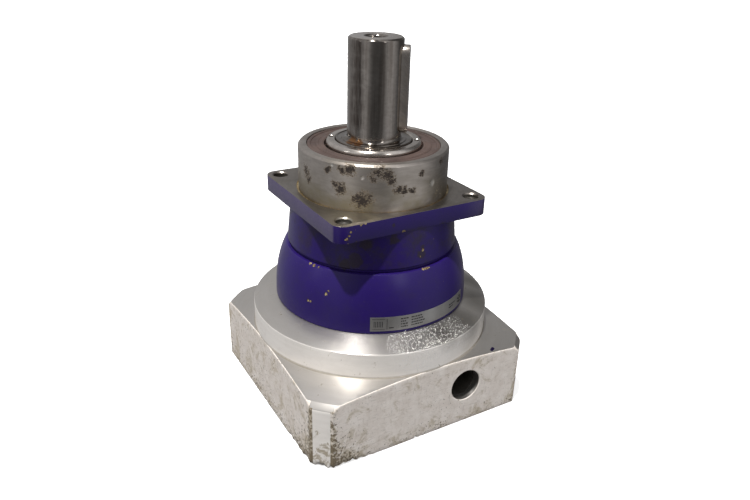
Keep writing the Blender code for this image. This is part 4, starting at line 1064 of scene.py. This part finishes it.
def make_nut():
    inner = 0.0228
    nut = turned(
        "bearing_nut_fine",
        [
            (NUT_R - 0.0013, NUT_TOP, 0.0005), (NUT_R, NUT_TOP - 0.0015, 0.0008), (NUT_R, NUT_BOTTOM),
            (inner, NUT_BOTTOM), (inner, NUT_TOP - 0.0008, 0.0002), (inner + 0.0007, NUT_TOP, 0.0002),
        ],
    )
    cutters = []
    for i in range(4):
        at = azimuth(-35.0 + 90.0 * i) * SPANNER_HOLE_CIRCLE_R
        hole = drill("spanner_hole", 0.0016, NUT_TOP - 0.006, NUT_TOP + 0.0004, at, 0.0002, count=32)
        cutters.append(hole)
    combined(nut, cutters)
    dress(nut, "output", "nut_steel", ["bearing_nut"], NUT_STEEL)


def make_seal():
    """The seal's face carries round ribs, and short radial ribs between them."""
    inner = 0.0296
    rows = 44
    ribs = [(0.0306, 0.0004, 0.00035), (0.0334, 0.0003, 0.00045), (0.0382, 0.0004, 0.0003)]
    spokes = [math.radians(a) for a in (14, 62, 108, 151, 204, 247, 296, 338)]

    def face_height(reach, angle):
        height = -0.0002
        for middle, width, tall in ribs:
            height += tall * math.exp(-(((reach - middle) / width) ** 2))
        if 0.0345 < reach < 0.0374:
            height -= 0.0003
            for spoke in spokes:
                away = abs((angle - spoke + math.pi) % math.tau - math.pi) * reach
                height += 0.0003 * math.exp(-((away / 0.0004) ** 2))
        return height

    def profile(angle):
        points = []
        for row in range(rows + 1):
            reach = inner + (SEAL_R - inner) * row / rows
            points.append((reach, SEAL_TOP + min(0.0, face_height(reach, angle))))
        points += [(SEAL_R, SEAL_BOTTOM), (0.0325, SEAL_BOTTOM), (0.0325, 0.1560), (0.0290, 0.1562)]
        return points

    seal = lathe("output_seal_fine", profile, even_angles(480))
    dress(seal, "housing", "brown_rubber", ["output_seal"], BROWN_RUBBER)


# ---- nameplate


def bent_patch(name, patches, lift, thick):
    """Thin patches bent round the bell. Each is (from, to, low, high), in degrees and metres."""
    work = bmesh.new()
    for start, end, low, high in patches:
        steps = max(1, int(abs(end - start) / 1.5))
        layers = []
        for out in (lift + thick, lift):
            grid = []
            for i in range(steps + 1):
                direction = azimuth(start + (end - start) * i / steps)
                column = []
                for j in range(3):
                    z = low + (high - low) * j / 2
                    column.append(work.verts.new((*(direction * (bell_radius(z) + out)).xy, z)))
                grid.append(column)
            layers.append(grid)
        top, under = layers
        for i in range(steps):
            for j in range(2):
                work.faces.new((top[i][j], top[i + 1][j], top[i + 1][j + 1], top[i][j + 1]))
                work.faces.new((under[i][j], under[i][j + 1], under[i + 1][j + 1], under[i + 1][j]))
            for j in (0, 2):
                work.faces.new((top[i][j], under[i][j], under[i + 1][j], top[i + 1][j]))
        for i in (0, steps):
            for j in range(2):
                work.faces.new((top[i][j], top[i][j + 1], under[i][j + 1], under[i][j]))
    bmesh.ops.recalc_face_normals(work, faces=work.faces)
    return object_from(name, work, bpy.data.meshes.new(name))


def make_nameplate():
    low = bottom_of("nameplate")
    high = top_of("nameplate")
    label = bent_patch("nameplate_fine", [(-30.0, 37.0, low, high)], 0.0001, 0.0002)
    dress(label, "housing", "nameplate_foil", ["nameplate"], FOIL)
    random.seed(5)
    tall = high - low
    bars = []
    for row in range(4):
        z = high - tall * (0.20 + 0.19 * row)
        for start, end in ((-13.0, -8.6), (-6.8, 2.5), (21.0, 27.5)):
            if start > 20.0 and row in (0, 3):
                continue
            place = start
            stop = end - random.uniform(0.0, 0.35) * (end - start)
            while place < stop:
                width = random.uniform(0.5, 1.4)
                bars.append((place, min(place + width, end), z - 0.00036, z + 0.00036))
                place += width + 0.35
    line = 0.00022
    bars.append((-29.0, -21.8, low + 0.0011, low + 0.0011 + line))
    bars.append((-29.0, -21.8, high - 0.0011 - line, high - 0.0011))
    bars.append((-20.9, -20.6, low + 0.0010, high - 0.0010))
    bars.append((-19.6, -17.0, low + 0.0016, low + 0.0023))
    for x in range(5):
        for y in range(5):
            if random.random() < 0.55:
                z = low + 0.0016 + 0.00105 * y
                bars.append((31.0 + x, 31.9 + x, z, z + 0.00085))
    for i in range(6):
        bars.append((-28.0 + 0.9 * i, -27.6 + 0.9 * i, low + 0.0026, high - 0.0026))
    marks = bent_patch("nameplate_print", bars, 0.0003, 0.00004)
    dress(marks, "housing", "nameplate_foil", [], INK)


# ---- motor side


def cap_screw_mesh(name, shank, head, tall, flats, length, sides=48):
    """Head below height zero, shank above, with a hexagon socket and a ribbed thread."""
    pitch = shank * 0.28
    depth = shank * 0.13
    points = [(0.0, length), (shank - depth * 2, length)]
    z = length - depth * 2
    stop = length * 0.35
    while z > stop:
        points += [(shank, z), (shank - depth, z - pitch / 2)]
        z -= pitch
    points += [(shank, stop - pitch), (shank, 0.0), (head - 0.0001, 0.0), (head, -0.0002)]
    points += [(head, -tall + 0.0005, 0.0002), (head - 0.0006, -tall, 0.0002), (0.0, -tall)]
    profile = eased(points, closed=False)
    screw = lathe(name, lambda angle: profile, even_angles(sides), closed=False)
    corner = flats / math.sqrt(3.0)
    above = -tall - 0.001
    hexagon = [(0.0, -tall * 0.45), (corner, -tall * 0.5), (corner, above), (0.0, above)]
    socket = lathe(name + "_socket", lambda angle: hexagon, even_angles(6), closed=False)
    return combined(screw, [socket])


# Shank radius, head radius, head height and key width of the small screws.
SCREWS = {
    "adapter_screw": (0.0029, 0.0049, 0.0058, 0.005),
    "housing_screw": (0.0019, 0.0033, 0.0038, 0.003),
}


def make_screws():
    for family, (shank, head, tall, flats) in SCREWS.items():
        for i in range(4):
            node = f"{family}_{i + 1}"
            low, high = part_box(node)
            centre = (low + high) / 2
            length = high.z - low.z - tall
            screw = cap_screw_mesh(node + "_fine", shank, head, tall, flats, length)
            screw.data.transform(Matrix.Translation((centre.x, centre.y, low.z + tall)))
            dress(screw, "housing", "black_oxide_screw", [node], SCREW_BLACK)
    low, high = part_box("clamp_screw")
    centre = (low + high) / 2
    tall = 0.0078
    screw = cap_screw_mesh("clamp_screw_fine", 0.0039, 0.0064, tall, 0.006, high.y - low.y - tall)
    screw.data.transform(Matrix.Rotation(-math.pi / 2, 4, "X"))
    screw.data.transform(Matrix.Translation((centre.x, low.y + tall, centre.z)))
    dress(screw, "input", "black_oxide_screw", ["clamp_screw"], SCREW_BLACK)


def block(name, low, high):
    outline = [(low[0], low[1]), (high[0], low[1]), (high[0], high[1]), (low[0], high[1])]
    return extruded(name, [outline], low[2], high[2])


def make_clamp():
    low = bottom_of("clamp_ring")
    high = top_of("clamp_ring")
    outer = radius_of("clamp_ring")
    ring = turned(
        "clamp_ring_fine",
        [
            (outer - 0.0009, high, 0.0002), (outer, high - 0.0009, 0.0002),
            (outer, low + 0.0009, 0.0002), (outer - 0.0009, low, 0.0002), (0.0204, low, 0.0001),
            (0.0200, low + 0.0004), (0.0200, high - 0.0004), (0.0204, high, 0.0001),
        ],
    )
    along_y = Matrix.Translation((ACCESS_X, 0.0, ACCESS_Z)) @ Matrix.Rotation(-math.pi / 2, 4, "X")
    hole = drill("hole", 0.0042, -0.02, 0.04, (0.0, 0.0))
    seat = drill("seat", 0.0067, -0.04, -0.010, (0.0, 0.0))
    hole.data.transform(along_y)
    seat.data.transform(along_y)
    slit = block("slit", (0.010, -0.0015, low - 0.005), (0.040, 0.0015, high + 0.005))
    combined(ring, [slit, hole, seat])
    dress(ring, "input", "machined_steel", ["clamp_ring"], MACHINED_STEEL)


def make_input_shaft():
    shaft = turned(
        "input_shaft_fine",
        [
            (0.0083, 0.0769), (0.0138, 0.0769), (0.0138, 0.0682), (0.0200, 0.0682), (0.0200, 0.0663),
            (0.0189, 0.0663), (0.0189, 0.0645), (0.0200, 0.0645), (0.0200, 0.0490),
            (0.0225, 0.0490, 0.0002), (0.0225, 0.0478, 0.0002), (0.0200, 0.0478), (0.0200, 0.0385),
            (0.0197, 0.0382), (0.0197, 0.0156, 0.0002), (0.0191, 0.0150, 0.0002),
            (0.0148, 0.0150, 0.0002), (0.0140, 0.0158, 0.0002), (0.0140, 0.0620), (0.0040, 0.0620),
            (0.0040, 0.0645), (0.0083, 0.0645),
        ],
    )
    half = 0.0012
    slots = [
        block("slot", (-0.03, -half, 0.0), (0.03, half, 0.0392)),
        block("slot", (-half, -0.03, 0.0), (half, 0.03, 0.0392)),
    ]
    combined(shaft, slots)
    dress(shaft, "input", "machined_steel", ["input_shaft"], MACHINED_STEEL)


def dress_inner_nodes():
    """Inner CAD nodes keep their shape and take a material by their slot."""
    by_slot = {
        "bearing_steel": BEARING_STEEL,
        "gear_steel": GEAR_STEEL,
        "machined_steel": MACHINED_STEEL,
        "black_rubber": BLACK_RUBBER,
        "spring_steel": SPRING_STEEL,
        "black_oxide_screw": SCREW_BLACK,
    }
    for row in frame["record"]["subparts"]:
        material = by_slot.get(row["material_slot"])
        if material is None:
            continue
        mesh = NODES[row["node"]].data
        mesh.materials.clear()
        mesh.materials.append(material)


make_output_housing()
make_bell()
make_adapter_plate()
make_shaft()
make_nut()
make_seal()
make_nameplate()
make_screws()
make_clamp()
make_input_shaft()
dress_inner_nodes()


# ---- studio

CAMERA_AZIMUTH = -30.78
CAMERA_ELEVATION = math.radians(25.16)
CAMERA_DISTANCE = 0.4439
CAMERA_ROLL = math.radians(1.57)
LENS = 33.43
AIM_HEIGHT = 0.09202
AIM_RIGHT = 0.00251
FLOOR_GLOW = 0.6
LIGHTS_AIM_HEIGHT = 0.10
SUN_POWER = 3.7
SUN_DEGREES = 2.2


def place_camera():
    level = azimuth(CAMERA_AZIMUTH)
    right = Vector((-level.y, level.x, 0.0))
    back = level * math.cos(CAMERA_ELEVATION) + Vector((0.0, 0.0, math.sin(CAMERA_ELEVATION)))
    up = back.cross(right)
    aim = Vector((0.0, 0.0, AIM_HEIGHT)) + right * AIM_RIGHT
    tilted_right = right * math.cos(CAMERA_ROLL) + up * math.sin(CAMERA_ROLL)
    tilted_up = up * math.cos(CAMERA_ROLL) - right * math.sin(CAMERA_ROLL)
    data = bpy.data.cameras.new("camera")
    data.lens = LENS
    data.sensor_width = 36.0
    data.clip_start = 0.01
    camera = bpy.data.objects.new("camera", data)
    turn = Matrix((tilted_right, tilted_up, back)).transposed().to_4x4()
    camera.matrix_world = Matrix.Translation(aim + back * CAMERA_DISTANCE) @ turn
    bpy.context.scene.collection.objects.link(camera)
    bpy.context.scene.camera = camera


def aimed(obj, degrees, elevation, distance):
    """Puts a light in this direction, counted from the camera, looking at the reducer."""
    lift = math.radians(elevation)
    level = azimuth(CAMERA_AZIMUTH + degrees)
    away = (level * math.cos(lift) + Vector((0.0, 0.0, math.sin(lift)))) * distance
    obj.rotation_euler = away.to_track_quat("Z", "Y").to_euler()
    obj.location = Vector((0.0, 0.0, LIGHTS_AIM_HEIGHT)) + away
    obj.visible_camera = False
    bpy.context.scene.collection.objects.link(obj)


def soft_light(name, degrees, elevation, distance, size, power, colour=(1.0, 1.0, 1.0)):
    data = bpy.data.lights.new(name, "AREA")
    data.shape = "RECTANGLE"
    data.size, data.size_y = size
    data.energy = power
    data.color = colour
    aimed(bpy.data.objects.new(name, data), degrees, elevation, distance)


# The brightness of the room round the reducer, as turns from the camera's direction. The dark
# stretches and the bright panels between them give the steel its upright bands.
PANELS = [
    (0.00, 0.36), (0.06, 0.48), (0.14, 0.54), (0.21, 0.50), (0.28, 0.44), (0.32, 0.16), (0.35, 0.62),
    (0.405, 0.78), (0.44, 0.32), (0.47, 0.17), (0.55, 0.13), (0.605, 0.28), (0.66, 0.86), (0.73, 0.70),
    (0.79, 0.14), (0.86, 0.10), (0.92, 0.18), (1.00, 0.36),
]


def make_surroundings():
    world = bpy.data.worlds.new("studio")
    world.use_nodes = True
    tree = world.node_tree

    def math_node(operation, *values):
        node = tree.nodes.new("ShaderNodeMath")
        node.operation = operation
        for value, socket in zip(values, node.inputs):
            if isinstance(value, bpy.types.NodeSocket):
                tree.links.new(value, socket)
            else:
                socket.default_value = value
        return node.outputs[0]

    def along(direction):
        node = tree.nodes.new("ShaderNodeVectorMath")
        node.operation = "DOT_PRODUCT"
        tree.links.new(place, node.inputs[0])
        node.inputs[1].default_value = direction
        return node.outputs["Value"]

    place = tree.nodes.new("ShaderNodeTexCoord").outputs["Generated"]
    angle = math_node("ARCTAN2", along(azimuth(CAMERA_AZIMUTH + 90.0)), along(azimuth(CAMERA_AZIMUTH)))
    turn = math_node("MULTIPLY_ADD", angle, 1.0 / math.tau, 0.5)
    ramp = tree.nodes.new("ShaderNodeValToRGB")
    ramp.color_ramp.interpolation = "B_SPLINE"
    stops = ramp.color_ramp.elements
    while len(stops) < len(PANELS):
        stops.new(0.5)
    for stop, (position, level) in zip(stops, PANELS):
        stop.position = position
        stop.color = (level, level, level * 1.02, 1.0)
    tree.links.new(turn, ramp.inputs["Fac"])
    height = math_node("MULTIPLY_ADD", along((0.0, 0.0, 1.0)), 0.35, 0.85)
    background = tree.nodes["Background"]
    tree.links.new(ramp.outputs["Color"], background.inputs["Color"])
    tree.links.new(height, background.inputs["Strength"])
    return world


def make_studio():
    bpy.ops.mesh.primitive_plane_add(size=40.0, location=(0.0, 0.0, -0.0002))
    floor = bpy.context.active_object
    floor.name = "floor"
    n = Nodes("pale_floor")
    tint = n.colours(n.noise(3.0, 2.0), (0.4, (0.86, 0.86, 0.86)), (0.6, (0.89, 0.89, 0.89)))
    glow = {"Emission_Color": (1.0, 1.0, 1.0, 1.0), "Emission_Strength": FLOOR_GLOW}
    floor.data.materials.append(n.finish(tint, 0.75, 0.0, **glow))
    floor.visible_glossy = False
    floor.visible_diffuse = False
    bpy.context.scene.world = make_surroundings()
    data = bpy.data.lights.new("key_light", "SUN")
    data.energy = SUN_POWER
    data.angle = math.radians(SUN_DEGREES)
    data.color = (1.0, 0.985, 0.96)
    aimed(bpy.data.objects.new("key_light", data), -33.0, 73.0, 1.3)
    soft_light("left_strip", -67.0, 22.0, 1.4, (0.10, 0.9), 0.9)
    soft_light("right_strip", 37.0, 25.0, 1.4, (0.16, 0.8), 1.9)


bpy.context.scene.view_settings.view_transform = "Standard"
place_camera()
make_studio()
